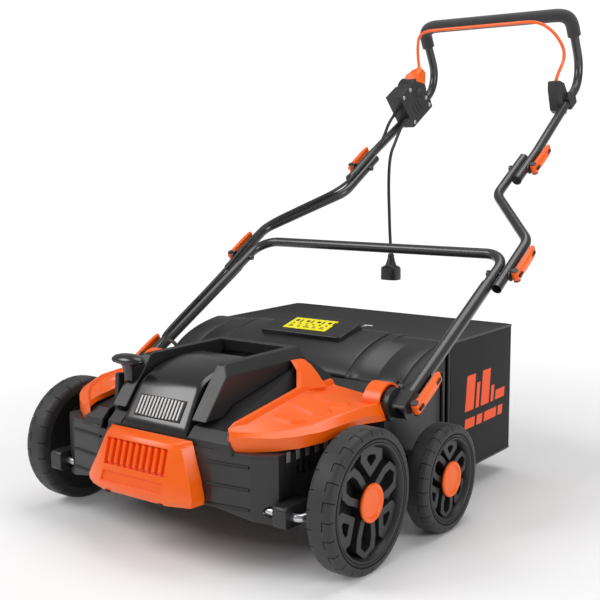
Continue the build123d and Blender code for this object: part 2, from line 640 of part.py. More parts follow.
def rear_flap():
    skin = flap_band(-FLAP_HALF, FLAP_HALF, 0.0, -WALL)
    rise = flap_band(-150, 150, 4.0, -0.5) & block(-200, 200, 200, 400, 0, 400)
    cheek = yz_prism([(FLAP_FRONT_Y + 6, 226), (FLAP_FRONT_Y, 234), (254, 269), (FLAP_REAR_Y, 290),
                      (FLAP_REAR_Y, 236), (250, 212)], FLAP_HALF - WALL, FLAP_HALF)
    pin = rod_x(FLAP_PIN_R, REAR_HALF - WALL, FLAP_HALF, FLAP_HINGE_Y, FLAP_HINGE_Z)
    boss = rod_x(7.0, FLAP_HALF - WALL, FLAP_HALF, FLAP_HINGE_Y, FLAP_HINGE_Z)
    notch = block(REAR_HALF - WALL - 1, FLAP_HALF - WALL, 170, FLAP_HINGE_Y + 12, 200, 260)
    flap = skin + rise - notch - mirror(notch, about=Plane.YZ)
    for piece in (cheek, pin, boss):
        flap += piece + mirror(piece, about=Plane.YZ)
    pad = Box(2 * PAD_HALF, 76, 16)
    pad = fillet(pad.edges().filter_by(Axis.Z), 8.0)
    return flap + pad_place(4.0) * pad


def warning_plate():
    return pad_place(4.0) * Pos(0, 0, 8.55) * Box(92, 46, 1.0)


def catch_bag():
    """A fabric box, open at the front above its lower lip."""
    depth = BAG_REAR_Y - BAG_FRONT_Y
    outer = block(-BAG_HALF, BAG_HALF, BAG_FRONT_Y, BAG_REAR_Y, BAG_BOTTOM_Z, BAG_TOP_Z)
    back = outer.edges().filter_by(Axis.Z).group_by(Axis.Y)[-1]
    outer = fillet(back, BAG_CORNER_R)
    w = BAG_WALL
    inner = block(-BAG_HALF + w, BAG_HALF - w, BAG_FRONT_Y + w, BAG_FRONT_Y + depth - w, BAG_BOTTOM_Z + w,
                  BAG_TOP_Z - w)
    mouth = block(-BAG_HALF + 14, BAG_HALF - 14, BAG_FRONT_Y - 1, BAG_FRONT_Y + w + 1, 112, BAG_TOP_Z - 14)
    return outer - inner - mouth


def bag_frame():
    """The steel hoop that holds the mouth open."""
    y = BAG_FRONT_Y - BAG_FRAME_R - GAP
    x = BAG_HALF - 10
    z0, z1 = 106.0, BAG_TOP_Z - 8
    corners = [(0, y, z0), (x, y, z0), (x, y, z1), (-x, y, z1), (-x, y, z0), (-0.5, y, z0)]
    return tube(corners, [16.0] * 4, BAG_FRAME_R)


# ---- handle --------------------------------------------------------------
def cross_bore(shape, centre, x0, x1):
    return shape - rod_x(BOLT_R + BOLT_RUN, x0, x1, centre.Y, centre.Z)


def lower_legs():
    leg = tube_straight(LEG_R, lower_point(LEG_X, -14), lower_point(LEG_X, LEG_LEN))
    leg -= tube_straight(TUBE_R + TUBE_FIT, lower_point(LEG_X, -15), lower_point(LEG_X, LEG_LEN + 1))
    slot = Rot(LOWER_TILT, 0, 0) * Box(14, 46, 5)
    middle = lower_point(LEG_X + LEG_R, 54)
    leg -= Pos(middle.X, middle.Y, middle.Z) * slot
    return both(cross_bore(leg, lower_point(0, 0), 260, 310))


def cross_tube():
    foot = LEG_LEN - 70
    row = [lower_point(-LEG_X, foot), lower_point(-LEG_X, CROSS_S), lower_point(LEG_X, CROSS_S),
           lower_point(LEG_X, foot)]
    shape = tube(row, [CROSS_BEND_R] * 2, TUBE_R, TUBE_R - TUBE_WALL)
    clamp = lower_point(0, MID_CLAMP_S)
    return cross_bore(shape, clamp, -320, 320)


def pivot_saddles():
    """A black shoe round each leg's foot."""
    place = lower_point(LEG_X, 4)
    half = LEG_R + 3.0
    shoe = Box(2 * LEG_R + 3.0, 46, 2 * half)
    shoe = fillet(shoe.edges().filter_by(Axis.X), 8.0)
    shoe = Pos(place.X + 0.2, place.Y, place.Z) * Rot(LOWER_TILT, 0, 0) * shoe
    shoe -= tube_straight(LEG_R, lower_point(LEG_X, -40), lower_point(LEG_X, 60))
    return both(cross_bore(shoe, lower_point(0, 0), 260, 310))


def middle_tubes():
    row = [upper_point(MID_X, -TUBE_TAIL), upper_point(MID_X, BEND_OUT_S), upper_point(NARROW_X, BEND_IN_S),
           upper_point(NARROW_X, MID_LEN + TUBE_TAIL)]
    shape = tube(row, [MIDDLE_BEND_R] * 2, TUBE_R, TUBE_R - TUBE_WALL)
    shape = cross_bore(shape, upper_point(0, 0), 280, 330)
    return both(cross_bore(shape, upper_point(0, MID_LEN), 160, 220))


def grip_corner(side):
    bend = upper_point(side * UPPER_TOP_X, MID_LEN + UPPER_LEN)
    return bend + Vector(0, RISE_Y, RISE_Z)


def grip_row():
    rise = Vector(0, RISE_Y, RISE_Z).normalized()
    left = grip_corner(-1)
    right = grip_corner(1)
    return [left - rise * GRIP_DOWN, left, right, right - rise * GRIP_DOWN]


def upper_tube():
    half = []
    for side in (-1, 1):
        rows = [upper_point(side * UPPER_X, MID_LEN - TUBE_TAIL), upper_point(side * UPPER_X, MID_LEN + 60),
                upper_point(side * UPPER_TOP_X, MID_LEN + UPPER_LEN), grip_corner(side)]
        half.append(rows)
    row = half[0] + half[1][::-1]
    radii = [150.0, UPPER_BEND_R, GRIP_BEND_R, GRIP_BEND_R, UPPER_BEND_R, 150.0]
    shape = tube(row, radii, TUBE_R, TUBE_R - TUBE_WALL)
    return cross_bore(shape, upper_point(0, MID_LEN), -240, 240)


def foam_grip():
    """A foam sleeve: a straight middle that a hand or a clamp can hold, and two bent ends."""
    bent = tube(grip_row(), [GRIP_BEND_R] * 2, GRIP_R, TUBE_R)
    half = UPPER_TOP_X - GRIP_BEND_R
    bar = grip_corner(1)
    bent -= block(-half, half, bar.Y - 30, bar.Y + 30, bar.Z - 30, bar.Z + 30)
    return bent + ring_x(GRIP_R, TUBE_R, -half, half, bar.Y, bar.Z)


def upper_tube_caps():
    """Round plastic plugs in the lower ends of the upper tube."""
    s = MID_LEN - TUBE_TAIL
    head = tube_straight(TUBE_R + 0.4, upper_point(UPPER_X, s - 4), upper_point(UPPER_X, s))
    plug = tube_straight(TUBE_R - TUBE_WALL, upper_point(UPPER_X, s), upper_point(UPPER_X, s + 8))
    return both(head + plug)


def clamp_face(x):
    """Where a clamp's cup ends and its lever's pin stands, for a tube's outer face."""
    return x + CUP_T, x + CUP_T + LEVER_HUB_R + CLAMP_GAP


def tilt_place(point, tilt):
    """Local X outwards, local Y up the handle, local Z off its plane."""
    return Pos(point.X, point.Y, point.Z) * Rot(tilt, 0, 0)


def clamp_bolt(point, inner_x, face_x, tilt):
    """Bolt with its head, the cup, the eye and the cross pin that the lever turns on."""
    cup_end, pin_x = clamp_face(face_x)
    y, z = point.Y, point.Z
    bolt = rod_x(BOLT_R, inner_x - 3.0, pin_x - 1.5, y, z)
    head = rod_x(BOLT_HEAD_R, inner_x - 5.0, inner_x, y, z)
    cup = rod_x(CUP_R, face_x, cup_end, y, z)
    at = tilt_place(Vector(pin_x, y, z), tilt)
    eye = at * Cylinder(5.6, 6.0)
    pin = at * Cylinder(LEVER_PIN_R, LEVER_W + 1.0)
    cap_out = LEVER_W / 2 + 1.4
    caps = at * (Pos(0, 0, cap_out) * Cylinder(6.2, 2.0) + Pos(0, 0, -cap_out) * Cylinder(6.2, 2.0))
    return bolt + head + cup + eye + pin + caps


def cam_lever(point, face_x, tilt):
    """An orange fork on the cross pin with a paddle that lies along the tube."""
    pin_x = clamp_face(face_x)[1]
    hub = Cylinder(LEVER_HUB_R, LEVER_W)
    arm = Pos(2.0, LEVER_LEN / 2, 0) * Box(LEVER_T, LEVER_LEN, LEVER_W)
    arm = fillet(arm.edges().filter_by(Axis.X), 5.0)
    neck = Pos(2.0, 10.0, 0) * Box(LEVER_T, 8.0, LEVER_W)
    lever = hub + arm + neck
    lever -= Box(2 * LEVER_HUB_R + 8, 2 * LEVER_HUB_R + 3, 7.0)
    lever -= Cylinder(LEVER_PIN_R + BOLT_RUN, LEVER_W + 2)
    return tilt_place(Vector(pin_x, point.Y, point.Z), tilt) * lever


def clamp_rows():
    """Each clamp: name, pivot point, inner face, outer face and slope."""
    shoe = LEG_X + LEG_R + 1.7
    return [("lower", lower_point(0, 0), PIVOT_DISC_X, shoe, LOWER_TILT),
            ("middle", upper_point(0, 0), LEG_X - TUBE_R, MID_X + TUBE_R, UPPER_TILT),
            ("upper", upper_point(0, MID_LEN), NARROW_X - TUBE_R, UPPER_X + TUBE_R, UPPER_TILT)]


# ---- controls ------------------------------------------------------------
def box_point(x, along, up):
    """A place along and off the tube from the switch box's lower corner."""
    return upper_point(x, MID_LEN + UPPER_LEN - 181 + along, up - BOX_BELOW)


def switch_box():
    """Two-part box clamped on the right leg: one outline, hollow, with a hump for the bail."""
    plane = Plane(origin=box_point(BOX_FACE_X, 0, 0), x_dir=box_point(0, 1, 0) - box_point(0, 0, 0),
                  z_dir=(-1, 0, 0))
    flip = plane.y_dir.dot(box_point(0, 0, 1) - box_point(0, 0, 0))
    up = 1 if flip > 0 else -1
    outline = make_face(Polyline((0, 0), (BOX_LEN, 0), (BOX_LEN, up * 22), (92, up * 30), (92, up * 58),
                                 (30, up * BOX_H), (-21, up * BOX_H), close=True))
    hump = Pos(58, up * 58) * Circle(HUMP_R)
    body = extrude(plane * (outline + hump), amount=BOX_T)
    body = fillet(body.edges().group_by(Axis.X)[-1], 2.0)
    way = upper_row(-1)
    bore = tube(way, [150.0], TUBE_R + TUBE_FIT)
    hollow = extrude(plane * (Pos(34, up * 58) * Rectangle(84, 46)), amount=BOX_T - 5)
    hollow = Pos(-2.5, 0, 0) * hollow
    axle = box_point(0, 58, 58)
    button = rod_x(BUTTON_R + 0.15, -260, BOX_FACE_X - 20, *box_yz(20, 62))
    for x, up in ((LEAD_X, LEAD_UP), (MAINS_X, MAINS_UP)):
        start, end = gland_ends(x, up)
        body -= tube_straight(GLAND_R, start, end)
    return body - bore - hollow - rod_x(BAIL_HUB_R + 0.5, -195, -140, axle.Y, axle.Z) - button


def upper_row(side):
    return [upper_point(side * UPPER_X, MID_LEN + 10), upper_point(side * UPPER_X, MID_LEN + 60),
            upper_point(side * UPPER_TOP_X, MID_LEN + UPPER_LEN)]


def box_yz(along, up):
    point = box_point(0, along, up)
    return point.Y, point.Z


def lock_button():
    y, z = box_yz(20, 62)
    outer = BOX_FACE_X - BOX_T
    return rod_x(BUTTON_R, outer - 5.0, outer + 8.0, y, z) + rod_x(BUTTON_R + 2, outer + 8.0, outer + 10.0, y, z)


def bail_pivot():
    return box_yz(58, 58)


def bail_rod():
    """A bent wire with a round hub at each end."""
    y, z = bail_pivot()
    top = grip_corner(1) + Vector(0, BAIL_AHEAD, BAIL_BELOW)
    knee = Vector(0, (y + top.Y) / 2 - 6, (z + top.Z) / 2 + 10)
    row = [(-BAIL_HALF, y, z + BAIL_HUB_R - 2), (-BAIL_HALF, knee.Y, knee.Z), (-BAIL_HALF, top.Y, top.Z),
           (BAIL_HALF, top.Y, top.Z), (BAIL_HALF, knee.Y, knee.Z), (BAIL_HALF, y, z + BAIL_HUB_R - 2)]
    wire = tube(row, [30.0, 24.0, 24.0, 30.0], BAIL_R)
    hub = rod_x(BAIL_HUB_R, -BAIL_HALF - 36, -BAIL_HALF + 5, y, z)
    boss = rod_x(BAIL_HUB_R - 3, BAIL_HALF - 5, BAIL_HALF + 5, y, z)
    pin = rod_x(4.0, BAIL_HALF, BAIL_HALF + 14, y, z)
    return wire + hub + boss + pin


def bail_bracket():
    """A clip on the left leg with an arm up to the bail's pin."""
    y, z = bail_pivot()
    foot = upper_point(UPPER_TOP_X + 3, MID_LEN + UPPER_LEN - 110)
    x0, x1 = BAIL_HALF + 6, BAIL_HALF + 12
    plate = bar_yz((y, z), (foot.Y, foot.Z), 22.0, x0, x1) + rod_x(11, x0, x1, y, z)
    clip = tilt_place(foot, UPPER_TILT) * Box(32, 24, 28)
    shape = clip + plate + block(x0, foot.X, foot.Y - 8, foot.Y + 8, foot.Z - 8, foot.Z + 8)
    shape -= rod_x(4.0 + AXLE_RUN, x0 - 1, x1 + 1, y, z)
    return shape - tube(upper_row(1), [150.0], TUBE_R + TUBE_FIT)


# ---- cords ---------------------------------------------------------------


def gland_ends(x, up):
    start = box_point(x, -21.0 * up / BOX_H + GLAND_SUNK, up)
    end = box_point(x, -21.0 * up / BOX_H - GLAND_LEN, up)
    return start, end


def cord_glands():
    """Ribbed sleeves where the two cords leave the box."""
    glands = []
    for x, up in ((LEAD_X, LEAD_UP), (MAINS_X, MAINS_UP)):
        start, end = gland_ends(x, up)
        glands.append(tube_straight(GLAND_R, start, end))
    return Compound(children=glands)


def motor_lead():
    """The lead that the handle carries down to the deck."""
    lift = TUBE_R + CORD_R + 1.2
    end = gland_ends(LEAD_X, LEAD_UP)[1]
    start = end - box_point(0, 1, 0) + box_point(0, 0, 0)
    leg_lift = LEG_R + CORD_R + 1.2
    row = [start, start + (box_point(0, 0, 0) - box_point(0, 26, 0)), box_point(LEAD_X, -84, 36),
           upper_point(LEAD_X, 430, lift + 1), upper_point(-NARROW_X - 1, 370, lift),
           upper_point(-NARROW_X, BEND_IN_S, lift), upper_point(-MID_X + 8, BEND_OUT_S, lift + 1),
           upper_point(-MID_X + 8, 0, lift + 1), lower_point(-LEG_X, 285, leg_lift), lower_point(-LEG_X, 70, leg_lift),
           lower_point(-LEG_X + 34, 44, 30), Vector(LEAD_END_X, LEAD_END_Y, 268), Vector(LEAD_END_X, LEAD_END_Y, 226)]
    radii = [40, 40, 60, 60, 60, 60, 40, 30, 30, 30, 20]
    return tube(row, radii[:len(row) - 2], CORD_R)


def mains_row():
    start = gland_ends(MAINS_X, MAINS_UP)[1]
    return [start, upper_point(-170, 496, 8), upper_point(-166, 462, -1), Vector(-162, 822, 608),
            Vector(-160, 812, 568), Vector(-159, 810, 522), Vector(-158, 812, 474), Vector(-157, 813, 428),
            Vector(-155, 815.5, PLUG_TOP_Z)]


def corner_radii(row):
    """Each corner's arc is as large as its two runs allow."""
    radii = []
    for a, b, c in zip(row, row[1:], row[2:]):
        turn = radians((b - a).get_angle(c - b))
        radii.append(0.45 * min((b - a).length, (c - b).length) / tan(turn / 2))
    return radii


def power_cord():
    row = mains_row()
    radii = corner_radii(row)
    cord = tube(row, radii, CORD_R)
    length = FilletPolyline(*row, radius=radii).length
    fill = cord.volume / (pi * CORD_R ** 2 * length)
    print("power cord corner radii", [round(r) for r in radii])
    print("power cord length", round(length, 1), "volume ratio", round(fill, 4))
    return cord


def power_plug():
    """A short moulded inlet that hangs face down, its pins inside a shroud."""
    top = mains_row()[-1]
    neck = Pos(top.X, top.Y, top.Z - 15) * Cylinder(11, 30)
    body = Pos(top.X, top.Y, top.Z - 46) * Box(44, 34, 32)
    body = fillet(body.edges().filter_by(Axis.Z), 6.0)
    socket = Pos(top.X, top.Y, top.Z - 56) * Box(34, 24, 14)
    shape = neck + body - socket
    for dx in (-6.5, 6.5):
        shape += Pos(top.X + dx, top.Y, top.Z - 55) * Box(1.6, 6.5, 13)
    return shape


# ---- every piece ---------------------------------------------------------
def wheel_pieces():
    rows = {}
    for end, r, width, face_x, y in (("front", FRONT_WHEEL_R, FRONT_TREAD_W, FRONT_WHEEL_FACE_X, 0.0),
                                     ("rear", REAR_WHEEL_R, REAR_TREAD_W, REAR_WHEEL_FACE_X, WHEELBASE)):
        left = {f"{end}_tyre": tyre(r, width, face_x, y, r), f"{end}_rim": rim(r, width, face_x, y, r),
                f"{end}_hub_cap": hub_cap(face_x, y, r)}
        for name, shape in left.items():
            rows[name + "_left"] = shape
            rows[name + "_right"] = mirror(shape, about=Plane.YZ)
    return rows


def clamp_pieces():
    rows = {}
    for name, point, inner, face, tilt in clamp_rows():
        rows[name + "_clamp_bolts"] = both(clamp_bolt(point, inner, face, tilt))
        lever = cam_lever(point, face, tilt)
        rows[name + "_cam_lever_left"] = lever
        rows[name + "_cam_lever_right"] = mirror(lever, about=Plane.YZ)
    return rows


def pieces():
    rows = wheel_pieces()
    rows.update(clamp_pieces())
    for make in (front_axle, rear_axle, depth_lever, axle_brackets, deck_housing, top_cover, motor_hood, hood_vent,
                 carry_frame, front_grille, side_fairings, pivot_discs, motor_can, motor_armature, drive_belt,
                 belt_cover, rotor_bearings, rotor_shaft, tine_discs, spring_tines, rear_flap, warning_plate,
                 catch_bag, bag_frame, lower_legs, cross_tube, pivot_saddles, middle_tubes, upper_tube, foam_grip,
                 switch_box, lock_button, bail_rod, bail_bracket, cord_glands, motor_lead, power_cord,
                 power_plug, upper_tube_caps):
        rows[make.__name__] = make()
    return rows


CORD_PIECES = ("power_cord", "power_plug")


def middle_y(rows):
    """Half-way along the machine, its free cord left out."""
    boxes = [shape.bounding_box() for name, shape in rows.items() if name not in CORD_PIECES]
    return (min(b.min.Y for b in boxes) + max(b.max.Y for b in boxes)) / 2


if __name__ == "__main__":
    os.makedirs("parts", exist_ok=True)
    rows = pieces()
    shift = -middle_y(rows)
    print("front wheel axis at y =", round(shift, 4))
    for name, shape in rows.items():
        export_step(Pos(0, shift, 0) * shape, f"parts/{name}.step")
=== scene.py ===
import bpy
import bmesh
from math import atan2, cos, pi, radians, sin, sqrt
from mathutils import Euler, Matrix, Vector


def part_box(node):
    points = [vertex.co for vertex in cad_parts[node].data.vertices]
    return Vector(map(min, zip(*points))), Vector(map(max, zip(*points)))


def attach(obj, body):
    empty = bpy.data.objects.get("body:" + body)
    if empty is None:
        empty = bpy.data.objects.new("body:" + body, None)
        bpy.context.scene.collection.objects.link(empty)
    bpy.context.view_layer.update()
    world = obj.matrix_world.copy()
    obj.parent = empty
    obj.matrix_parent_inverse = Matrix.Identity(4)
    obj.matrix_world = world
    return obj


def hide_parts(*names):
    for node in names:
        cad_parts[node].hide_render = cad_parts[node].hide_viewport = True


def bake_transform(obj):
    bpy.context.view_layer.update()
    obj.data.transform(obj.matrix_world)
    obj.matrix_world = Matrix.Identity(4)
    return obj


# Lawn dethatcher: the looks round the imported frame. Metres, with the front facing -Y and +X the machine's left.

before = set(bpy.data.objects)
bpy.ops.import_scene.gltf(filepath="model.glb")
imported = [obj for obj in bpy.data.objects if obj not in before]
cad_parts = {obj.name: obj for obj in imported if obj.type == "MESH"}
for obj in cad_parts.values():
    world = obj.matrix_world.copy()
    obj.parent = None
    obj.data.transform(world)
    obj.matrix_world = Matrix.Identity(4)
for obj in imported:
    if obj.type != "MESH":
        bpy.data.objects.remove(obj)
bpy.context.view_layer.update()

MM = 0.001
FRONT_AXLE_Y = sum(corner.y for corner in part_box("front_tyre_left")) / 2
LOWER_SLOPE = 29.9      # degrees of the lower handle above the ground
UPPER_SLOPE = 31.2      # and of the middle and upper handle
LABEL_SLOPE = 14        # and of the flap where its label sits
CORD_RADIUS = 3.5       # millimetres, both cords and the bail's wire


def at(x, y, z):
    """A place in millimetres, with y counted back from the front wheel axis."""
    return Vector((x * MM, FRONT_AXLE_Y + y * MM, z * MM))


# ---- camera and studio ---------------------------------------------------
def make_camera():
    data = bpy.data.cameras.new("camera")
    data.lens = 61.2
    data.sensor_width = 36.0
    data.clip_end = 50.0
    camera = linked("camera", data)
    aim = Euler((radians(90 - 7.87), 0, radians(36.76))).to_matrix().to_4x4()
    roll = Matrix.Rotation(radians(-0.298), 4, "Z")
    camera.matrix_world = Matrix.Translation(at(1080.7, -1190.4, 597.5)) @ aim @ roll
    bpy.context.scene.camera = camera


def softbox(name, place, target, size, power):
    data = bpy.data.lights.new(name, "AREA")
    data.shape = "RECTANGLE"
    data.size, data.size_y = size
    data.energy = power
    lamp = linked(name, data)
    lamp.location = place
    lamp.rotation_euler = (Vector(target) - Vector(place)).to_track_quat("-Z", "Y").to_euler()


def make_studio():
    floor_mesh = bmesh.new()
    bmesh.ops.create_grid(floor_mesh, x_segments=1, y_segments=1, size=14)
    mesh = bpy.data.meshes.new("floor")
    floor_mesh.to_mesh(mesh)
    floor_mesh.free()
    floor = linked("floor", mesh)
    mesh.materials.append(studio_paper())
    world = bpy.data.worlds.new("studio_air")
    world.use_nodes = True
    tree = world.node_tree
    air = tree.nodes["Background"]
    air.inputs["Color"].default_value = (1, 1, 1, 1)
    seen = add(tree, "ShaderNodeLightPath")
    level = add(tree, "ShaderNodeMapRange", {"Value": seen.outputs["Is Camera Ray"]}, To_Min=0.30, To_Max=1.05)
    tree.links.new(level.outputs["Result"], air.inputs["Strength"])
    bpy.context.scene.world = world
    softbox("key_softbox", (-1.9, -2.4, 2.6), (0, 0, 0.3), (1.8, 1.8), 60)
    softbox("side_softbox", (2.9, -0.6, 1.5), (0, 0, 0.25), (1.2, 1.2), 30)
    softbox("top_softbox", (0.2, 0.5, 3.2), (0, 0, 0.2), (2.2, 2.2), 42)
    bpy.context.scene.view_settings.view_transform = "Standard"


# ---- materials -----------------------------------------------------------
def colour(code):
    """A hex sRGB colour as linear RGBA."""
    parts = [int(code[i:i + 2], 16) / 255 for i in (1, 3, 5)]
    return tuple(c / 12.92 if c <= 0.04045 else ((c + 0.055) / 1.055) ** 2.4 for c in parts) + (1.0,)


def add(tree, kind, links=None, **settings):
    """Adds a node: links name its sockets' sources, and settings are its values or properties."""
    made = tree.nodes.new(kind)
    for key, value in settings.items():
        if hasattr(made, key):
            setattr(made, key, value)
        else:
            made.inputs[key.replace("_", " ")].default_value = value
    for socket, source in (links or {}).items():
        tree.links.new(source, made.inputs[socket])
    return made


def surface(name, base, roughness, metallic=0.0, **extra):
    """A material with its shader: extra sets more sockets, written with _ for spaces."""
    material = bpy.data.materials.new(name)
    material.use_nodes = True
    tree = material.node_tree
    shader = tree.nodes["Principled BSDF"]
    shader.inputs["Base Color"].default_value = colour(base)
    shader.inputs["Roughness"].default_value = roughness
    shader.inputs["Metallic"].default_value = metallic
    for key, value in extra.items():
        shader.inputs[key.replace("_", " ")].default_value = value
    place = add(tree, "ShaderNodeTexCoord").outputs["Object"]
    return material, tree, shader, place


def vary(tree, shader, place, low, high, scale, detail=3.0):
    """Slow colour drift between two hex colours."""
    noise = add(tree, "ShaderNodeTexNoise", {"Vector": place}, Scale=scale, Detail=detail)
    ramp = add(tree, "ShaderNodeValToRGB", {"Fac": noise.outputs["Fac"]})
    ramp.color_ramp.elements[0].position = 0.3
    ramp.color_ramp.elements[1].position = 0.7
    ramp.color_ramp.elements[0].color = colour(low)
    ramp.color_ramp.elements[1].color = colour(high)
    tree.links.new(ramp.outputs["Color"], shader.inputs["Base Color"])


def polish(tree, shader, place, low, high, scale):
    """Roughness that drifts between two values, as handling and moulding leave it."""
    noise = add(tree, "ShaderNodeTexNoise", {"Vector": place}, Scale=scale, Detail=4.0)
    span = add(tree, "ShaderNodeMapRange", {"Value": noise.outputs["Fac"]}, To_Min=low, To_Max=high)
    tree.links.new(span.outputs["Result"], shader.inputs["Roughness"])


def grain(tree, shader, height, strength, distance):
    bump = add(tree, "ShaderNodeBump", {"Height": height}, Strength=strength, Distance=distance)
    tree.links.new(bump.outputs["Normal"], shader.inputs["Normal"])


def speckle(tree, shader, place, scale, strength, distance, detail=2.0):
    """Fine random relief."""
    noise = add(tree, "ShaderNodeTexNoise", {"Vector": place}, Scale=scale, Detail=detail)
    grain(tree, shader, noise.outputs["Fac"], strength, distance)


def pits(tree, shader, place, scale, strength, distance):
    """Relief of small cells, scale to the metre."""
    cells = add(tree, "ShaderNodeTexVoronoi", {"Vector": place}, Scale=scale)
    grain(tree, shader, cells.outputs["Distance"], strength, distance)


def studio_paper():
    """Matt white paper sweep: almost no gloss, so shadows stay soft and neutral."""
    material, tree, shader, place = surface("paper_sweep", "#F8F8F8", 0.9, Specular_IOR_Level=0.1)
    speckle(tree, shader, place, 400.0, 0.02, 0.0005)
    reach = add(tree, "ShaderNodeVectorMath", {0: place}, operation="LENGTH")
    fade = add(tree, "ShaderNodeMapRange", {"Value": reach.outputs["Value"]}, From_Min=0.45, From_Max=1.35)
    white = add(tree, "ShaderNodeEmission", Strength=1.05)
    mix = add(tree, "ShaderNodeMixShader", {0: fade.outputs["Result"], 1: shader.outputs["BSDF"],
                                            2: white.outputs["Emission"]})
    tree.links.new(mix.outputs["Shader"], tree.nodes["Material Output"].inputs["Surface"])
    return material


def moulded_abs(name, low, high, roughness, coat=0.0, pit=0.9):
    """Injection-moulded ABS, IOR 1.54, with a spark-eroded grain of about pit mm that breaks the highlights."""
    material, tree, shader, place = surface(name, high, roughness, IOR=1.54, Coat_Weight=coat, Coat_Roughness=0.12)
    vary(tree, shader, place, low, high, 9.0)
    polish(tree, shader, place, roughness - 0.05, roughness + 0.06, 30.0)
    pits(tree, shader, place, 1.0 / (pit * MM), 0.10, 0.00008)
    return material


def tyre_rubber():
    """Moulded SBR rubber, IOR 1.52: a dull bloom with faint mould marks, rougher than the plastics."""
    material, tree, shader, place = surface("moulded_sbr_rubber", "#343537", 0.58, IOR=1.52, Sheen_Weight=0.08)
    vary(tree, shader, place, "#1F2022", "#2B2C2E", 14.0)
    speckle(tree, shader, place, 700.0, 0.18, 0.00015, 5.0)
    return material


def painted_groove_shade():
    """The same rubber at the bottom of the grooves and in the sunk sidewall ring, darkened as painted shade where no
    light reaches, and rougher where no handling reaches.
    """
    material, tree, shader, place = surface("groove_shade_rubber", "#121213", 0.8, IOR=1.52)
    speckle(tree, shader, place, 700.0, 0.1, 0.0001)
    return material


def coated_tube():
    """Powder-coated steel tube, IOR 1.5: satin charcoal with an orange peel of about 1.5 mm."""
    material, tree, shader, place = surface("charcoal_powder_coat", "#2E2F31", 0.30, IOR=1.5, Coat_Weight=0.4,
                                            Coat_Roughness=0.16)
    vary(tree, shader, place, "#29292B", "#303133", 6.0)
    speckle(tree, shader, place, 1 / (3 * MM), 0.03, 0.00005, 1.0)
    return material


def orange_coat():
    """Powder-coated steel wire in the livery orange, smoother than the tubes."""
    material, tree, shader, place = surface("orange_powder_coat", "#FF5F08", 0.3, IOR=1.5, Coat_Weight=0.4,
                                            Coat_Roughness=0.15)
    vary(tree, shader, place, "#FF5E00", "#FF6808", 20.0)
    speckle(tree, shader, place, 1 / (3 * MM), 0.03, 0.00005)
    return material


def zinc_steel(name, tint, roughness):
    """Zinc-plated steel: bright, with a faint drawn grain along the bar."""
    material, tree, shader, place = surface(name, tint, roughness, metallic=1.0)
    polish(tree, shader, place, roughness - 0.06, roughness + 0.12, 90.0)
    stretch = add(tree, "ShaderNodeMapping", {"Vector": place}, Scale=(40.0, 900.0, 900.0))
    noise = add(tree, "ShaderNodeTexNoise", {"Vector": stretch.outputs["Vector"]}, Scale=1.0, Detail=3.0)
    grain(tree, shader, noise.outputs["Fac"], 0.15, 0.00005)
    return material


def silver_paint():
    """Silver-painted vent bars: metal flake under a clear coat."""
    material, tree, shader, place = surface("silver_flake_paint", "#9A9795", 0.38, metallic=0.5, Coat_Weight=0.3,
                                            Coat_Roughness=0.1)
    pits(tree, shader, place, 1 / (0.5 * MM), 0.08, 0.00005)
    return material


def nbr_foam():
    """Closed-cell NBR foam, IOR 1.5: matt black with pores drawn 1.2 mm apart so that they show."""
    material, tree, shader, place = surface("nbr_foam", "#242527", 0.82, IOR=1.5, Sheen_Weight=0.25,
                                            Sheen_Roughness=0.6)
    vary(tree, shader, place, "#202123", "#2B2C2E", 25.0)
    pits(tree, shader, place, 1 / (1.2 * MM), 0.45, 0.0003)
    return material


def woven_polyester():
    """600-denier polyester canvas: a plain weave of 0.5 mm threads, drawn at 1.6 mm so that it shows."""
    material, tree, shader, place = surface("polyester_canvas", "#0E0E0F", 0.8, IOR=1.5, Sheen_Weight=0.06,
                                            Sheen_Roughness=0.5)
    vary(tree, shader, place, "#0C0C0D", "#121213", 7.0)
    ends = [weave_wave(tree, place, axis) for axis in ("X", "Y", "Z")]
    first = add(tree, "ShaderNodeMath", {0: ends[0], 1: ends[1]}, operation="ADD")
    total = add(tree, "ShaderNodeMath", {0: first.outputs[0], 1: ends[2]}, operation="ADD")
    grain(tree, shader, total.outputs[0], 0.16, 0.0002)
    return material


def weave_wave(tree, place, axis):
    wave = add(tree, "ShaderNodeTexWave", {"Vector": place}, wave_type="BANDS", bands_direction=axis,
               Scale=1 / (1.6 * MM) / 20, Distortion=0.6)
    return wave.outputs["Fac"]


def plain_finish(name, code, roughness, **extra):
    """A small part's finish with a fine tooth."""
    material, tree, shader, place = surface(name, code, roughness, **extra)
    speckle(tree, shader, place, 900.0, 0.08, 0.00008, 4.0)
    polish(tree, shader, place, roughness - 0.04, roughness + 0.05, 60.0)
    return material


MATTE_BLACK = moulded_abs("charcoal_abs", "#1E1E20", "#262628", 0.40)
GLOSS_BLACK = moulded_abs("polished_charcoal_abs", "#1B1B1D", "#222224", 0.24, coat=0.25)
RIM_BLACK = moulded_abs("charcoal_polypropylene", "#202123", "#28292B", 0.42)
# Near-black: the grille's clips, and painted shade in slots, gaps, recesses and the deep back of the rims.
NEAR_BLACK_AND_SHADE = moulded_abs("near_black_and_painted_shade", "#0E0E0F", "#141415", 0.6)
ORANGE = moulded_abs("orange_abs", "#FF6200", "#FF6800", 0.33, pit=0.7)
RUBBER = tyre_rubber()
GROOVE_SHADE = painted_groove_shade()
TUBE_COAT = coated_tube()
ORANGE_WIRE = orange_coat()
ZINC = zinc_steel("zinc_plated_steel", "#C8CACC", 0.28)
DARK_STEEL = zinc_steel("phosphated_steel", "#5A5B5E", 0.42)
SILVER = silver_paint()
FOAM = nbr_foam()
CANVAS = woven_polyester()
PIPING = plain_finish("grey_binding_tape", "#3C3D3F", 0.7, Sheen_Weight=0.2)
INK = plain_finish("orange_screen_ink", "#FF5A24", 0.6)
PVC = plain_finish("soft_pvc", "#1B1B1D", 0.42, IOR=1.53)
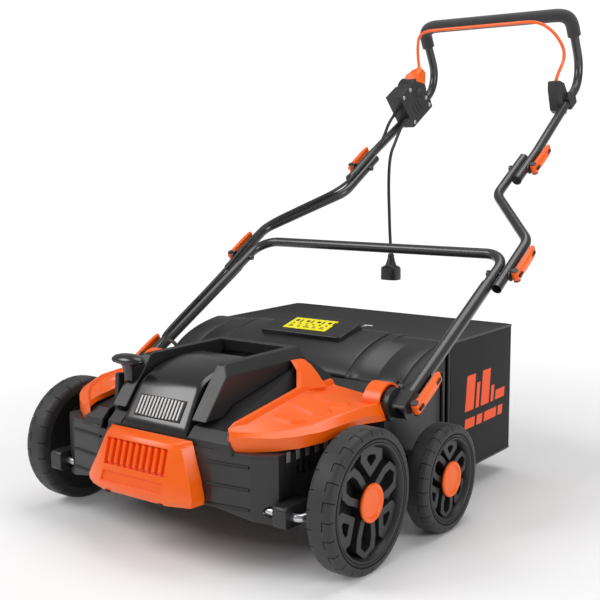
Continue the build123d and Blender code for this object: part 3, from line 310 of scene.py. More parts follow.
VINYL = plain_finish("yellow_vinyl", "#FFF200", 0.35, Coat_Weight=0.3)
VINYL_INK = plain_finish("black_vinyl_ink", "#1A1A1A", 0.4)
COPPER = zinc_steel("copper_winding", "#B0683A", 0.35)


# ---- mesh helpers --------------------------------------------------------
def piece(bm, name, body, material, replaces=(), bevel=0.0, smooth=True, segments=2):
    """Turns a finished bmesh into a piece that rides on its body."""
    bmesh.ops.remove_doubles(bm, verts=bm.verts, dist=1e-6)
    bmesh.ops.recalc_face_normals(bm, faces=bm.faces)
    mesh = bpy.data.meshes.new(name)
    bm.to_mesh(mesh)
    bm.free()
    for entry in (material if isinstance(material, (list, tuple)) else [material]):
        mesh.materials.append(entry)
    obj = linked(name, mesh)
    if smooth:
        mesh.shade_smooth()
        if not bevel:
            mesh.set_sharp_from_angle(angle=radians(38))
    if bevel:
        round_edges(obj, bevel, segments)
    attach(obj, body)
    if replaces:
        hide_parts(*replaces)
    return obj


def round_edges(obj, width, segments=2, angle=28):
    """Small moulded radii on the sharp edges, width in millimetres."""
    bevel = obj.modifiers.new("moulded_radius", "BEVEL")
    bevel.width = width * MM
    bevel.segments = segments
    bevel.limit_method = "ANGLE"
    bevel.angle_limit = radians(angle)
    bevel.harden_normals = True
    bevel.use_clamp_overlap = True


def spun(profile, steps, place, side=1):
    """A profile of (x, r) millimetres spun about X: x counts outwards on that side."""
    bm = bmesh.new()
    turned(bm, [(x, 0, r) for x, r in profile], (1, 0, 0), steps)
    bmesh.ops.remove_doubles(bm, verts=bm.verts, dist=1e-6)
    seat(bm, place, side)
    return bm


def seat(bm, place, side):
    """Flips a part made for the left side if it is for the right, and puts it in place."""
    if side < 0:
        bmesh.ops.scale(bm, vec=(-1, 1, 1), verts=bm.verts)
    bmesh.ops.translate(bm, vec=place, verts=bm.verts)


def linked(name, data):
    """A new object round its data, in the scene."""
    obj = bpy.data.objects.new(name, data)
    bpy.context.scene.collection.objects.link(obj)
    return obj


def join(target, source):
    """Adds a bmesh's shape to another."""
    mesh = bpy.data.meshes.new("passing")
    source.to_mesh(mesh)
    source.free()
    target.from_mesh(mesh)
    bpy.data.meshes.remove(mesh)


def box_part(bm, size, place, turn=None):
    """A box of size (x, y, z) millimetres with its middle at place."""
    made = bmesh.ops.create_cube(bm, size=1.0)["verts"]
    bmesh.ops.scale(bm, vec=Vector(size) * MM, verts=made)
    if turn is not None:
        bmesh.ops.rotate(bm, cent=(0, 0, 0), matrix=turn, verts=made)
    bmesh.ops.translate(bm, vec=place, verts=made)
    return made


def frame_plate(bm, outer, inner, x0, x1):
    """A flat frame between two outlines of (y, z) millimetres, from x0 to x1."""
    ring = []
    for outline in (outer, inner):
        ring.append([bm.verts.new((x0 * MM, y * MM, z * MM)) for y, z in outline])
    faces = []
    count = len(outer)
    for i in range(count):
        j = (i + 1) % count
        faces.append(bm.faces.new((ring[0][i], ring[0][j], ring[1][j], ring[1][i])))
    made = bmesh.ops.extrude_face_region(bm, geom=faces)["geom"]
    top = [v for v in made if isinstance(v, bmesh.types.BMVert)]
    bmesh.ops.translate(bm, vec=((x1 - x0) * MM, 0, 0), verts=top)


def chain(bm, points, closed=False):
    """A line of edges through points in model millimetres."""
    verts = [bm.verts.new(at(*p)) for p in points]
    pairs = list(zip(verts, verts[1:])) + ([(verts[-1], verts[0])] if closed else [])
    return [bm.edges.new(pair) for pair in pairs]


def skin(bm, rows, closed=False):
    """Bridges rows of points, one to the next, and returns the rows' edges."""
    loops = [chain(bm, row, closed) for row in rows]
    for first, second in zip(loops, loops[1:]):
        bmesh.ops.bridge_loops(bm, edges=first + second)
    return loops


def cap_ends(bm, *loops):
    for loop in loops:
        bmesh.ops.edgeloop_fill(bm, edges=loop)


def both_sides(bm):
    """Adds the mirror image across the middle of the machine."""
    bmesh.ops.mirror(bm, geom=bm.verts[:] + bm.edges[:] + bm.faces[:], axis="X", merge_dist=0)


def bezier(a, b, c, d, count):
    """Points of a cubic curve, both ends included."""
    points = []
    for i in range(count + 1):
        t = i / count
        weights = ((1 - t) ** 3, 3 * t * (1 - t) ** 2, 3 * t * t * (1 - t), t ** 3)
        points.append(tuple(sum(w * p[k] for w, p in zip(weights, (a, b, c, d))) for k in range(len(a))))
    return points


def wire(bm, points, radius, smooth=True, resolution=4, steps=8):
    """A round bar of radius millimetres along points, as a mesh."""
    data = bpy.data.curves.new("passing", "CURVE")
    data.dimensions = "3D"
    data.bevel_depth = radius * MM
    data.bevel_resolution = resolution
    data.use_fill_caps = True
    data.resolution_u = steps
    spline = data.splines.new("NURBS" if smooth else "POLY")
    spline.points.add(len(points) - 1)
    for point, place in zip(spline.points, points):
        point.co = (*at(*place), 1.0)
    if smooth:
        spline.order_u = 3
        spline.use_endpoint_u = True
    passing = bpy.data.objects.new("passing", data)
    mesh = bpy.data.meshes.new_from_object(passing)
    bm.from_mesh(mesh)
    bpy.data.objects.remove(passing)
    bpy.data.curves.remove(data)
    bpy.data.meshes.remove(mesh)


def upper_at(x, s, lift=0.0):
    """A place s millimetres up the middle and upper handle from the middle clamp."""
    a = radians(UPPER_SLOPE)
    return (x, 451.6 + s * cos(a) - lift * sin(a), 394.5 + s * sin(a) + lift * cos(a))


def lower_at(x, s, lift=0.0):
    """A place s millimetres up the lower handle from its pivot."""
    a = radians(LOWER_SLOPE)
    return (x, 143 + s * cos(a) - lift * sin(a), 217 + s * sin(a) + lift * cos(a))


def sink(bm, place, rim, depth):
    """Pushes the face nearest a place in by depth, behind a rim: both in millimetres."""
    face = min(bm.faces, key=lambda f: (f.calc_center_median() - place).length)
    bm.normal_update()
    bmesh.ops.inset_region(bm, faces=[face], thickness=rim * MM)
    bmesh.ops.inset_region(bm, faces=[face], thickness=1.2 * MM, depth=-depth * MM)


def hull(bm, rows):
    """A closed solid through rows of points."""
    loops = skin(bm, rows, closed=True)
    cap_ends(bm, loops[0], loops[-1])


def turned(bm, points, axis, steps):
    """A line of points spun once about an axis through the origin."""
    verts = [bm.verts.new(tuple(c * MM for c in point)) for point in points]
    edges = [bm.edges.new(pair) for pair in zip(verts, verts[1:])]
    bmesh.ops.spin(bm, geom=verts + edges, cent=(0, 0, 0), axis=axis, angle=2 * pi, steps=steps, use_merge=True)


def lay(bm, verts, turn, place):
    """Turns verts about the origin, then carries them to a place."""
    bmesh.ops.rotate(bm, cent=(0, 0, 0), matrix=turn, verts=verts)
    bmesh.ops.translate(bm, vec=place, verts=verts)


def chamfer(bm, edges, offset, segments):
    """Rounds edges in the mesh itself, offset in millimetres."""
    bmesh.ops.bevel(bm, geom=edges, offset=offset * MM, offset_type="OFFSET", segments=segments, profile=0.5,
                    affect="EDGES", material=-1)


def mirrored(half):
    """The other half of a line of points, met from the middle outwards."""
    return [(-x, y, z) for x, y, z in reversed(half)]


def lean(degrees):
    return Matrix.Rotation(radians(degrees), 3, "X")


# ---- wheels --------------------------------------------------------------
HOOKS = 24
SECTOR = (0.0, 0.055, 0.50, 0.555, 1.0)


def tyre(end, side, radius, width, place, body):
    """A tyre with hook-shaped grooves that run over the shoulder, and short sipes on the inner half."""
    inner = radius - 20
    wall = [(-2, 0), (-1.2, 1.5), (0.2, 2), (0.2, 3.4), (-1.4, 4.2), (-1.4, 5.4), (0, 6.4)]
    shoulder = [(0, 13), (0, 10), (-0.8, 6), (-2.6, 2.4), (-6, 0.5), (-13, 0), (-14.6, 0), (-24, 0), (-32, 0)]
    profile = [(x, inner + r) for x, r in wall] + [(x, radius - r) for x, r in shoulder]
    profile += [(5 - width, radius - 0.6), (1.5 - width, radius - 3.4), (-width, radius - 8), (-width, inner + 2),
                (2 - width, inner)]
    bm = bmesh.new()
    verts = [bm.verts.new((x * MM, 0, r * MM)) for x, r in profile]
    verts.append(bm.verts.new((profile[0][0] * MM, 0, profile[0][1] * MM)))
    edges = [bm.edges.new(pair) for pair in zip(verts, verts[1:])]
    cuts = [(k + s) * 2 * pi / HOOKS for k in range(HOOKS) for s in SECTOR[1:]]
    geom, last = verts + edges, 0.0
    for cut in cuts:
        made = bmesh.ops.spin(bm, geom=geom, cent=(0, 0, 0), axis=(1, 0, 0), angle=cut - last, steps=1)
        geom, last = made["geom_last"], cut
    bmesh.ops.remove_doubles(bm, verts=bm.verts, dist=1e-6)
    bmesh.ops.recalc_face_normals(bm, faces=bm.faces)
    grooves = [f for f in bm.faces if in_groove(f, radius)]
    bmesh.ops.inset_region(bm, faces=grooves, thickness=0.00015, depth=-0.0018, use_even_offset=True)
    # Groove floors take the near-black rubber: painted shade in the grooves.
    for f in grooves:
        f.material_index = 1
    # The sunk ring on the sidewall takes the same painted shade.
    for f in bm.faces:
        middle = f.calc_center_median()
        if -1.5 < middle.x / MM < -0.5 and inner + 3 < sqrt(middle.y ** 2 + middle.z ** 2) / MM < inner + 6.3:
            f.material_index = 1
    seat(bm, place, side)
    piece(bm, f"{end}_tyre_tread_{name_of(side)}", body, [RUBBER, GROOVE_SHADE],
          (f"{end}_tyre_{name_of(side)}",))


def in_groove(face, radius):
    """Whether a tread face lies in the hook, which turns along the tread and then crosses the shoulder."""
    middle = face.calc_center_median()
    x, r = middle.x / MM, sqrt(middle.y ** 2 + middle.z ** 2) / MM
    share = (atan2(middle.z, middle.y) / (2 * pi) * HOOKS - HOOKS / 4) % 1.0
    if r < radius - 13:
        return False
    narrow_first = share < SECTOR[1] or share > 1 - 1e-4
    narrow_second = SECTOR[2] < share < SECTOR[3]
    if -14 < x < -0.1 and narrow_first:
        return True
    if -14.6 < x < -13 and share < SECTOR[2]:
        return True
    return x < -32 and narrow_second


def name_of(side):
    return "left" if side > 0 else "right"


def rim(end, side, radius, width, place, body):
    """A deep dish with three looped arms, and a small triangular pocket between each two."""
    out = radius - 20
    k = out / 88.0
    dish = [(-2, out - 0.2), (-0.6, out - 1.4), (-0.6, out - 3.4), (-3, out - 5.0), (-9, out - 7.5), (-20, out - 9.0),
            (-22, out - 12), (-24, 16), (-width + 4, 16), (-width + 4, out - 4), (-width + 2, out - 0.2),
            (-2, out - 0.2)]
    bm = spun(dish, 72, (0, 0, 0))
    # The deep back of the dish takes the near-black: painted shade in the recess.
    for f in bm.faces:
        middle = f.calc_center_median()
        if middle.x / MM < -21 and sqrt(middle.y ** 2 + middle.z ** 2) / MM < out - 8:
            f.material_index = 1
    arm = ([(12, -15), (50 * k, -25 * k), (69 * k, -24 * k), (84 * k, 0), (69 * k, 24 * k), (50 * k, 25 * k),
            (12, 15)],
           [(16, -5), (51 * k, -13 * k), (65 * k, -12 * k), (73 * k, 0), (65 * k, 12 * k), (51 * k, 13 * k),
            (16, 5)])
    pocket = ([(36, 0), (61, -29), (76, -28), (81, 0), (76, 28), (61, 29)],
              [(52, 0), (63, -12), (68, -10), (69.5, 0), (68, 10), (63, 12)])
    pocket = [[(y * k, z * k) for y, z in outline] for outline in pocket]
    for (outer, inner), first, face in ((arm, 22, -6), (pocket, 82, -8)):
        for turn in (first, first + 120, first + 240):
            before = set(bm.verts)
            frame_plate(bm, outer, inner, -23, face)
            fresh = [v for v in bm.verts if v not in before]
            bmesh.ops.rotate(bm, cent=(0, 0, 0), matrix=lean(turn), verts=fresh)
    hub = [(-width + 3, 6.2), (-width + 3, 17), (-23, 19), (-9, 19), (-8, 18), (-8, 6.2)]
    join(bm, spun(hub + hub[:1], 40, (0, 0, 0)))
    seat(bm, place, side)
    piece(bm, f"{end}_rim_dish_{name_of(side)}", body, [RIM_BLACK, NEAR_BLACK_AND_SHADE],
          (f"{end}_rim_{name_of(side)}",), bevel=1.4)


def hub_cap(end, side, place, body):
    """A mushroom cap: a rolled rim round a shallow dish, on a flared neck."""
    profile = [(-23, 8), (-23, 12.5), (-14, 14), (-9, 16.5), (-6, 20), (-4.8, 24), (-4.4, 27), (-3.6, 28.4),
               (-2, 29), (-0.4, 28.8), (0.9, 27.6), (1.5, 26), (1.4, 24), (0.4, 22.4), (-1.2, 20.8), (-1.6, 18),
               (-1.2, 9), (-1.1, 0.05)]
    bm = spun(profile, 56, place, side)
    piece(bm, f"{end}_cap_dome_{name_of(side)}", body, ORANGE,
          (f"{end}_hub_cap_{name_of(side)}",))


def make_wheels():
    for side in (1, -1):
        for end, radius, width in (("front", 108.0, 43.0), ("rear", 88.0, 40.0)):
            low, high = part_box(f"{end}_tyre_{name_of(side)}")
            middle = (low + high) / 2
            face_x = high.x if side > 0 else low.x
            place = Vector((face_x, middle.y, middle.z))
            body = f"{end}_wheel_{name_of(side)}"
            tyre(end, side, radius, width, place, body)
            rim(end, side, radius, width, place, body)
            hub_cap(end, side, place, body)


# ---- carried-over CAD nodes ----------------------------------------------
def dress():
    """Gives each CAD node that stays its finish, and a small radius on the edges of those listed in soft."""
    finishes = [(MATTE_BLACK, "deck_housing top_cover carry_frame belt_cover axle_brackets pivot_discs "
                              "pivot_saddles switch_box upper_tube_caps tine_discs lock_button"),
                (GLOSS_BLACK, "motor_hood"),
                (ORANGE, "side_fairings front_grille " + " ".join(
                    f"{row}_cam_lever_{side}" for row in ("lower", "middle", "upper") for side in ("left", "right"))),
                (TUBE_COAT, "lower_legs cross_tube middle_tubes upper_tube bag_frame"),
                (ZINC, "front_axle rear_axle rotor_shaft spring_tines rotor_bearings motor_can"),
                (DARK_STEEL, "lower_clamp_bolts middle_clamp_bolts upper_clamp_bolts"),
                (COPPER, "motor_armature"),
                (PVC, "drive_belt")]
    for material, names in finishes:
        for name in names.split():
            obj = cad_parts[name]
            obj.data.materials.clear()
            obj.data.materials.append(material)
    soft = {"deck_housing": 1.5, "top_cover": 2.0, "carry_frame": 2.2, "motor_hood": 1.5, "rear_flap": 1.5,
            "switch_box": 1.5, "axle_brackets": 1.0}
    for name, width in soft.items():
        smooth_node(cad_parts[name], width)


def smooth_node(obj, width):
    """A CAD node's loose triangles are welded and its edges rounded, by modifiers alone."""
    weld = obj.modifiers.new("weld", "WELD")
    weld.merge_threshold = 1e-6
    flat = obj.modifiers.new("flat_faces", "DECIMATE")
    flat.decimate_type = "DISSOLVE"
    flat.angle_limit = radians(1.0)
    round_edges(obj, width)


# ---- power cord ----------------------------------------------------------
CORD_ROUTE = [(-173.0, 894.1, 678.8), (-170.0, 871.7, 658.2), (-166.0, 847.3, 632.9), (-162.0, 822.0, 608.0),
              (-160.0, 812.0, 568.0), (-159.0, 810.0, 522.0), (-158.0, 812.0, 474.0), (-157.0, 813.0, 428.0),
              (-155.0, 815.5, 382.0)]


def make_cord():
    """The short mains pigtail: straight out of its gland, round the tube and down to the plug."""
    data = bpy.data.curves.new("mains_pigtail", "CURVE")
    data.dimensions = "3D"
    data.bevel_depth = CORD_RADIUS * MM
    data.bevel_resolution = 6
    data.use_fill_caps = True
    data.resolution_u = 16
    spline = data.splines.new("NURBS")
    spline.points.add(len(CORD_ROUTE) - 1)
    for point, place in zip(spline.points, CORD_ROUTE):
        point.co = (*at(*place), 1.0)
    spline.order_u = 3
    spline.use_endpoint_u = True
    data.materials.append(PVC)
    cord = linked("mains_pigtail", data)
    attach(cord, "handle_upper")
    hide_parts("power_cord")
    list(make_plug())


# ---- front grille --------------------------------------------------------
GRILLE_LEVELS = [(97, 66, -161, 103, -149, 106), (105, 67, -168, 107.5, -152, 107),
                 (113, 67.5, -169, 108.5, -152, 106), (133, 64.5, -164, 100, -148.5, 101.5),
                 (139, 63.5, -162.7, 97, -147, 100), (180, 64, -151.5, 79, -140.5, 88),
                 (186, 63, -146.5, 76.5, -138, 86), (189, 61, -139, 74, -132, 84)]


def make_grille():
    """A domed orange mask: flat front with a sunk window, a facet to each ridge and sides back to the deck."""
    rows = []
    for z, flat, front, ridge, ridge_y, root in GRILLE_LEVELS:
        half = [(flat, front, z), (ridge, ridge_y, z), (root, -122.4, z)]
        rows.append(half + mirrored(half))
    bm = bmesh.new()
    hull(bm, rows)
    bmesh.ops.recalc_face_normals(bm, faces=bm.faces)
    sink(bm, at(0, -157, 159.5), 1.2, 6.0)
    sink(bm, at(0, -166.5, 123), 3.0, 3.0)
    slope = lean(-15.5)
    for i in range(9):
        rib = bmesh.new()
        box_part(rib, (6.4, 8, 37), (0, 0, 0))
        chamfer(rib, rib.edges[:], 2.9, 3)
        lay(rib, rib.verts, slope, at((i - 4) * 13.2, -153.6, 159.5))
        join(bm, rib)
    piece(bm, "grille_mask", "chassis", ORANGE, ("front_grille",), bevel=1.8, segments=3)
    clips = bmesh.new()
    for x in (-56, 56):
        box_part(clips, (9, 5, 3), at(x, -162, 97.4))
    piece(clips, "grille_clips", "chassis", NEAR_BLACK_AND_SHADE, bevel=0.4)


# ---- side fairings -------------------------------------------------------
FAIRING = [(-113, 152, 181, 203, 150, 211, 146, 215), (-98, 180, 182, 203.5, 167, 208.5, 144.5, 221),
           (-80, 208, 184, 203, 190, 208.5, 144, 223.5), (-58, 233, 187.5, 206, 215, 211, 144, 227),
           (-32, 253, 192.5, 209.5, 238, 216.5, 144, 231), (10, 264, 200, 213.5, 253, 224.5, 144, 237.5),
           (60, 266, 203, 214, 258, 227, 143, 245), (84, 266, 200, 211, 258, 226, 141, 243),
           (112, 265, 196, 207, 258, 223, 140, 239), (152, 262, 192, 203, 257, 224, 138, 241)]


def fairing_row(y, x_out, z_low, z_band, x_lip, z_lip, x_in, z_in):
    """One cross-section: lower band, crease, outer lip, sunk panel, inner lip, then back underneath."""
    k = min(1.0, (x_lip - x_in) / 40)
    return [(x_out - 5, y, z_low), (x_out - 1, y, z_low), (x_out, y, z_band), (x_lip + k, y, z_lip - 1),
            (x_lip - 3 * k, y, z_lip + 0.5), (x_lip - 8 * k, y, z_lip - 4 * k), (x_in + 13 * k, y, z_in - 10 * k),
            (x_in + 9 * k, y, z_in - 8 * k), (x_in + 6 * k, y, z_in - 0.8), (x_in, y, z_in), (x_in, y, z_in - 9),
            (x_in + 13 * k, y, z_in - 14 * k - 2), (x_lip - 5, y, z_lip - 9)]


def panel_height(x, y):
    """Height of the sunk panel at a place on it."""
    for near, far in zip(FAIRING, FAIRING[1:]):
        if near[0] <= y <= far[0]:
            t = (y - near[0]) / (far[0] - near[0])
            x_lip, z_lip, x_in, z_in = (a + t * (b - a) for a, b in zip(near[4:], far[4:]))
            across = (x - x_in - 13) / (x_lip - x_in - 21)
            return z_in - 10 + across * (z_lip - 4 - z_in + 10)
    return FAIRING[-1][5]


def make_fairings():
    bm = bmesh.new()
    rows = [fairing_row(*row) for row in FAIRING]
    hull(bm, rows)
    plates = [[(168, -46), (206, -42), (222, -22), (192, -8), (164, -24)],
              [(164, 8), (216, -6), (240, 16), (226, 34), (178, 30)],
              [(168, 58), (210, 44), (242, 62), (222, 84), (178, 82)]]
    for plate in plates:
        for lift, shrink in ((0, 1.0), (5.2, 0.74)):
            middle = (sum(p[0] for p in plate) / 5, sum(p[1] for p in plate) / 5)
            ring = [(middle[0] + (x - middle[0]) * shrink, middle[1] + (y - middle[1]) * shrink) for x, y in plate]
            level = [(x, y, panel_height(x, y) - 0.6 + lift) for x, y in ring]
            if not lift:
                low = chain(bm, level, closed=True)
            else:
                top = chain(bm, level, closed=True)
        bmesh.ops.bridge_loops(bm, edges=low + top)
        cap_ends(bm, low, top)
    arch = [[(side, 143 + r * cos(t), 217 + r * sin(t)) for r, t in
             [(34, pi * i / 18) for i in range(19)] + [(30.5, pi * i / 18) for i in range(18, -1, -1)]]
            for side in (229, 259)]
    hull(bm, arch)
    fin = [[(139, 60, 241), (149, 60, 240), (152, 124, 234), (139, 124, 235)],
           [(118, 88, 263), (126, 89, 261), (131, 124, 257), (117, 125, 258)],
           [(107, 92, 272), (115, 93, 271), (120, 124, 267), (107, 124, 270)],
           [(100, 96, 276), (106, 97, 277), (109, 120, 275), (101, 121, 275)]]
    hull(bm, fin)
    both_sides(bm)
    piece(bm, "fairing_shells", "chassis", ORANGE, ("side_fairings",), bevel=1.6, segments=3)


# ---- skirt details -------------------------------------------------------
def make_skirt_details():
    """Grooves along the skirt's front corners, drawn as dark rods of painted shade, and pale louvres high on its
    sides over dark boxes of painted shade.
    """
    # Dark rods of painted shade stand in for the grooves along the skirt's front corners.
    grooves = bmesh.new()
    for z in (164, 131, 101):
        wire(grooves, [(112, -122.6, z), (122, -122.2, z), (184, -113.6, z)], 2.3, smooth=False)
    both_sides(grooves)
    piece(grooves, "skirt_groove_shade", "chassis", NEAR_BLACK_AND_SHADE)
    # Dark boxes of painted shade sit behind the louvre blades.
    mouths = bmesh.new()
    blades = bmesh.new()
    for i in range(5):
        y = -74 + i * 23
        box_part(mouths, (1.0, 11, 26), at(224.2, y, 172))
        box_part(blades, (1.4, 8.5, 15), at(224.6, y, 177))
    both_sides(mouths)
    both_sides(blades)
    piece(mouths, "louvre_mouth_shade", "chassis", NEAR_BLACK_AND_SHADE, bevel=0.3)
    piece(blades, "louvre_blades", "chassis", SILVER, bevel=0.4)


# ---- depth lever ---------------------------------------------------------
def make_depth_lever():
    """A flat arm on the crank with a polished, mushroom-shaped knob."""
    arm = bmesh.new()
    box_part(arm, (8, 14, 164), (0, 0, 80 * MM))
    lay(arm, arm.verts, lean(-4.0), at(-105, -95, 100))
    hub = spun([(-5, 6), (-5, 12), (5, 12), (5, 6), (-5, 6)], 32, at(-105, -95, 100))
    join(arm, hub)
    piece(arm, "depth_arm", "front_crank", MATTE_BLACK, ("depth_lever",), bevel=1.2)
    profile = [(0.01, 293.6), (14, 293.0), (23, 290.6), (28.5, 286.4), (29.5, 283.6), (27.5, 280.8), (22, 279.0),
               (14, 277.4), (10.5, 273), (9, 265), (8.5, 252), (0.01, 252)]
    knob = bmesh.new()
    turned(knob, [(x, 0, z) for x, z in profile], (0, 0, 1), 40)
    bmesh.ops.scale(knob, vec=(1.12, 0.62, 1), verts=knob.verts)
    bmesh.ops.translate(knob, vec=at(-87, -82.7, 0), verts=knob.verts)
    piece(knob, "depth_knob", "front_crank", GLOSS_BLACK)


# ---- switch box details --------------------------------------------------
def box_place(x, along, up):
    """A place on the switch box: along the tube from its lower corner, and up off it."""
    return upper_at(x, 554 + along, up - 13)


def make_box_details():
    """Three slanted slots drawn as dark boxes of painted shade, a round boss and five screws on the inner face, and
    the taper at each cord's exit.
    """
    tilt = lean(UPPER_SLOPE)
    # The slots are thin dark boxes of painted shade.
    slots = bmesh.new()
    for along in (20, 34, 48):
        made = box_part(slots, (1.2, 5, 30), (0, 0, 0), lean(24))
        lay(slots, made, tilt, at(*box_place(-163.9, along, 34)))
    piece(slots, "box_slot_shade", "handle_upper", NEAR_BLACK_AND_SHADE, bevel=0.5)
    boss = spun([(-22, 0.01), (-22, 13.3), (0.4, 13.3), (1.2, 12.4), (0.6, 11.2), (0.4, 0.01)], 40,
                at(-163.6, 951.8, 750))
    piece(boss, "box_boss", "handle_upper", MATTE_BLACK)
    screws = bmesh.new()
    for along, up in ((-8, 82), (8, 10), (88, 12), (26, 84), (82, 34)):
        place = at(*box_place(-164, along, up))
        join(screws, spun([(0, 0.01), (1.2, 1.6), (1.6, 3.4), (1.0, 4.6), (0, 5.0)], 20, place))
    piece(screws, "box_screws", "handle_upper", ZINC)
    sleeves = bmesh.new()
    for x, up in ((-184, 54), (-173, 27)):
        start = Vector(box_place(x, -21.0 * up / 92, up))
        sleeve = bmesh.new()
        profile = [(-2, 0.01), (-2, 7.4), (1.5, 7.4), (2.5, 6.4), (5, 6.3), (6, 5.7), (9, 5.9), (10, 5.4),
                   (13, 5.5), (14, 5.0), (17, 5.1), (18, 4.7), (21, 4.8), (26, 4.1), (26, 0.01)]
        turned(sleeve, [(0, -along, radius) for along, radius in profile], (0, 1, 0), 24)
        lay(sleeve, sleeve.verts, tilt, at(*start))
        join(sleeves, sleeve)
    piece(sleeves, "cord_sleeves", "handle_upper", PVC, ("cord_glands",))


def make_plug():
    """The moulded inlet on the end of the pigtail: a round neck with rings, and a shrouded body."""
    x, y, top = -155, 815.5, 382
    neck = bmesh.new()
    profile = [(top, 0.01), (top, 5.2), (top - 4, 6.2), (top - 6, 7.6), (top - 9, 7.6), (top - 10, 7.0),
               (top - 13, 8.4), (top - 14, 8.0), (top - 17, 9.4), (top - 18, 9.0), (top - 22, 10.6),
               (top - 28, 12.5), (top - 31, 16), (top - 31, 0.01)]
    turned(neck, [(radius, 0, z) for z, radius in profile], (0, 0, 1), 32)
    bmesh.ops.translate(neck, vec=at(x, y, 0), verts=neck.verts)
    levels = [(top - 30, 15, 12), (top - 34, 21, 16), (top - 58, 21.5, 16.5), (top - 62, 20.5, 15.5),
              (top - 62, 18, 13), (top - 50, 17, 12)]
    rows = []
    for z, half_x, half_y in levels:
        corners = []
        for i in range(32):
            t = 2 * pi * i / 32
            px, py = cos(t), sin(t)
            corners.append((x + half_x * (abs(px) ** 0.5) * (1 if px > 0 else -1),
                            y + half_y * (abs(py) ** 0.5) * (1 if py > 0 else -1), z))
        rows.append(corners)
    hull(neck, rows)
    body = piece(neck, "plug_body", "handle_upper", PVC, ("power_plug",))
    pins = bmesh.new()
    for dx in (-6.5, 6.5):
        box_part(pins, (1.6, 6.5, 12), at(x + dx, y, top - 55))
    return body, piece(pins, "plug_pins", "handle_upper", ZINC, bevel=0.3)


# ---- hood, vent and hand-grip comb ---------------------------------------
def hood_half(z):
    return 70 - (z - 170) / 12


def make_hood():
    """A polished hood: sloping front, one smooth curve over the top, and rounded flanks."""
    top = bezier((-86, 247), (-72, 270), (-38, 278), (8, 283), 10)
    side = [(-117, 186), (-117, 198), (-112, 205)] + top
    side += [(46, 283), (55, 281), (59.5, 275), (59.5, 225), (59.5, 186)]
    bm = bmesh.new()
    rounding = [(0, 9), (0.8, 4), (4, 1), (9, 0)]
    rails = [(-1, *step) for step in rounding] + [(1, *step) for step in reversed(rounding)]
    skin(bm, [[(sign * (hood_half(z) - drop), y, z - low) for y, z in side] for sign, drop, low in rails])
    for sign in (-1, 1):
        edge = [(sign * hood_half(z), y, z - 9) for y, z in side]
        foot = [(sign * 71.5, y, min(z - 9, 186 - 9)) for y, z in side]
        skin(bm, [edge, foot])
    piece(bm, "hood_shell", "chassis", GLOSS_BLACK, ("motor_hood",))


def make_vent():
    """Thirteen silver bars over a dark plate of painted shade in the recess, on the hood's sloping front."""
    slope = lean(58)
    middle = at(0, -102.0, 222.6)
    # A dark plate of painted shade fills the recess behind the bars.
    back = bmesh.new()
    box_part(back, (96, 35, 1.6), (0, 0, 0))
    lay(back, back.verts, slope, middle)
    piece(back, "vent_recess_shade", "chassis", NEAR_BLACK_AND_SHADE, bevel=0.5)
    bars = bmesh.new()
    for i in range(13):
        made = box_part(bars, (3.9, 30 + 3 * (1 - (i - 6) ** 2 / 36), 2.4), ((i - 6) * 7.05 * MM, 0, 1.0 * MM))
        lay(bars, made, slope, middle)
    piece(bars, "vent_bars", "chassis", SILVER, ("hood_vent",), bevel=0.6)


def make_comb():
    """The comb of short teeth under the hood's rear edge, over the hand gap."""
    bm = bmesh.new()
    for i in range(17):
        box_part(bm, (3.4, 5, 7), at((i - 8) * 6.6, 62.2, 272))
    piece(bm, "hood_comb", "chassis", MATTE_BLACK, bevel=0.4)


# ---- rear flap -----------------------------------------------------------
def make_flap():
    """A barrel-shaped flap: three stepped bands, hairline seams and end cheeks."""
    arc = bezier((185, 233), (203, 262), (258, 285), (330, 291), 16)
    steps = [(0, 4.5), (142, 4.5), (146, 3.0), (147, 0.2), (151, 0.2), (153, 2.6), (172, 2.6), (175, 0.2), (203, 0.2),
             (204, -0.6), (205, 0.2), (250, 0.0), (253, -1.2), (254, -3.5)]
    xs = [(-x, lift) for x, lift in reversed(steps[1:])] + steps
    bm = bmesh.new()
    skin(bm, [[(x, y, z + lift - (2.2 if i in (0, 16) else 0)) for i, (y, z) in enumerate(arc)] for x, lift in xs])
    for sign in (-1, 1):
        edge = [(sign * 254, y, z - 3.5) for y, z in arc]
        foot = [(sign * 254, y, max(min(z - 3.5, 232), 212 + (y - 185) * 0.17)) for y, z in arc]
        skin(bm, [edge, foot])
    flap = piece(bm, "flap_barrel", "flap", MATTE_BLACK, ("rear_flap",))
    wall = flap.modifiers.new("wall", "SOLIDIFY")
    wall.thickness = 3.0 * MM
    wall.offset = -1
    tilt = lean(LABEL_SLOPE)
    pad = bmesh.new()
    box_part(pad, (180, 76, 16), (0, 0, 0))
    upright = [e for e in pad.edges if abs(e.verts[0].co.z - e.verts[1].co.z) > 0.01]
    chamfer(pad, upright, 9, 5)
    lay(pad, pad.verts, tilt, at(0, 290, 290.9))
    piece(pad, "label_pad", "flap", MATTE_BLACK, bevel=2.4, segments=3)
    pin = bmesh.new()
    for sign in (-1, 1):
        spun_pin = spun([(242 * sign, 0.01), (242 * sign, 4), (254 * sign, 4), (254 * sign, 0.01)], 20, (0, 0, 0))
        bmesh.ops.translate(spun_pin, vec=at(0, 188, 236), verts=spun_pin.verts)
        join(pin, spun_pin)
    piece(pin, "flap_pins", "flap", DARK_STEEL)
    loop = bmesh.new()
    wire(loop, [(88, 318, 299), (100, 322, 302), (108, 329, 301), (103, 334, 300), (88, 333, 300)], 1.6)
    piece(loop, "pad_wire_loop", "flap", ZINC)


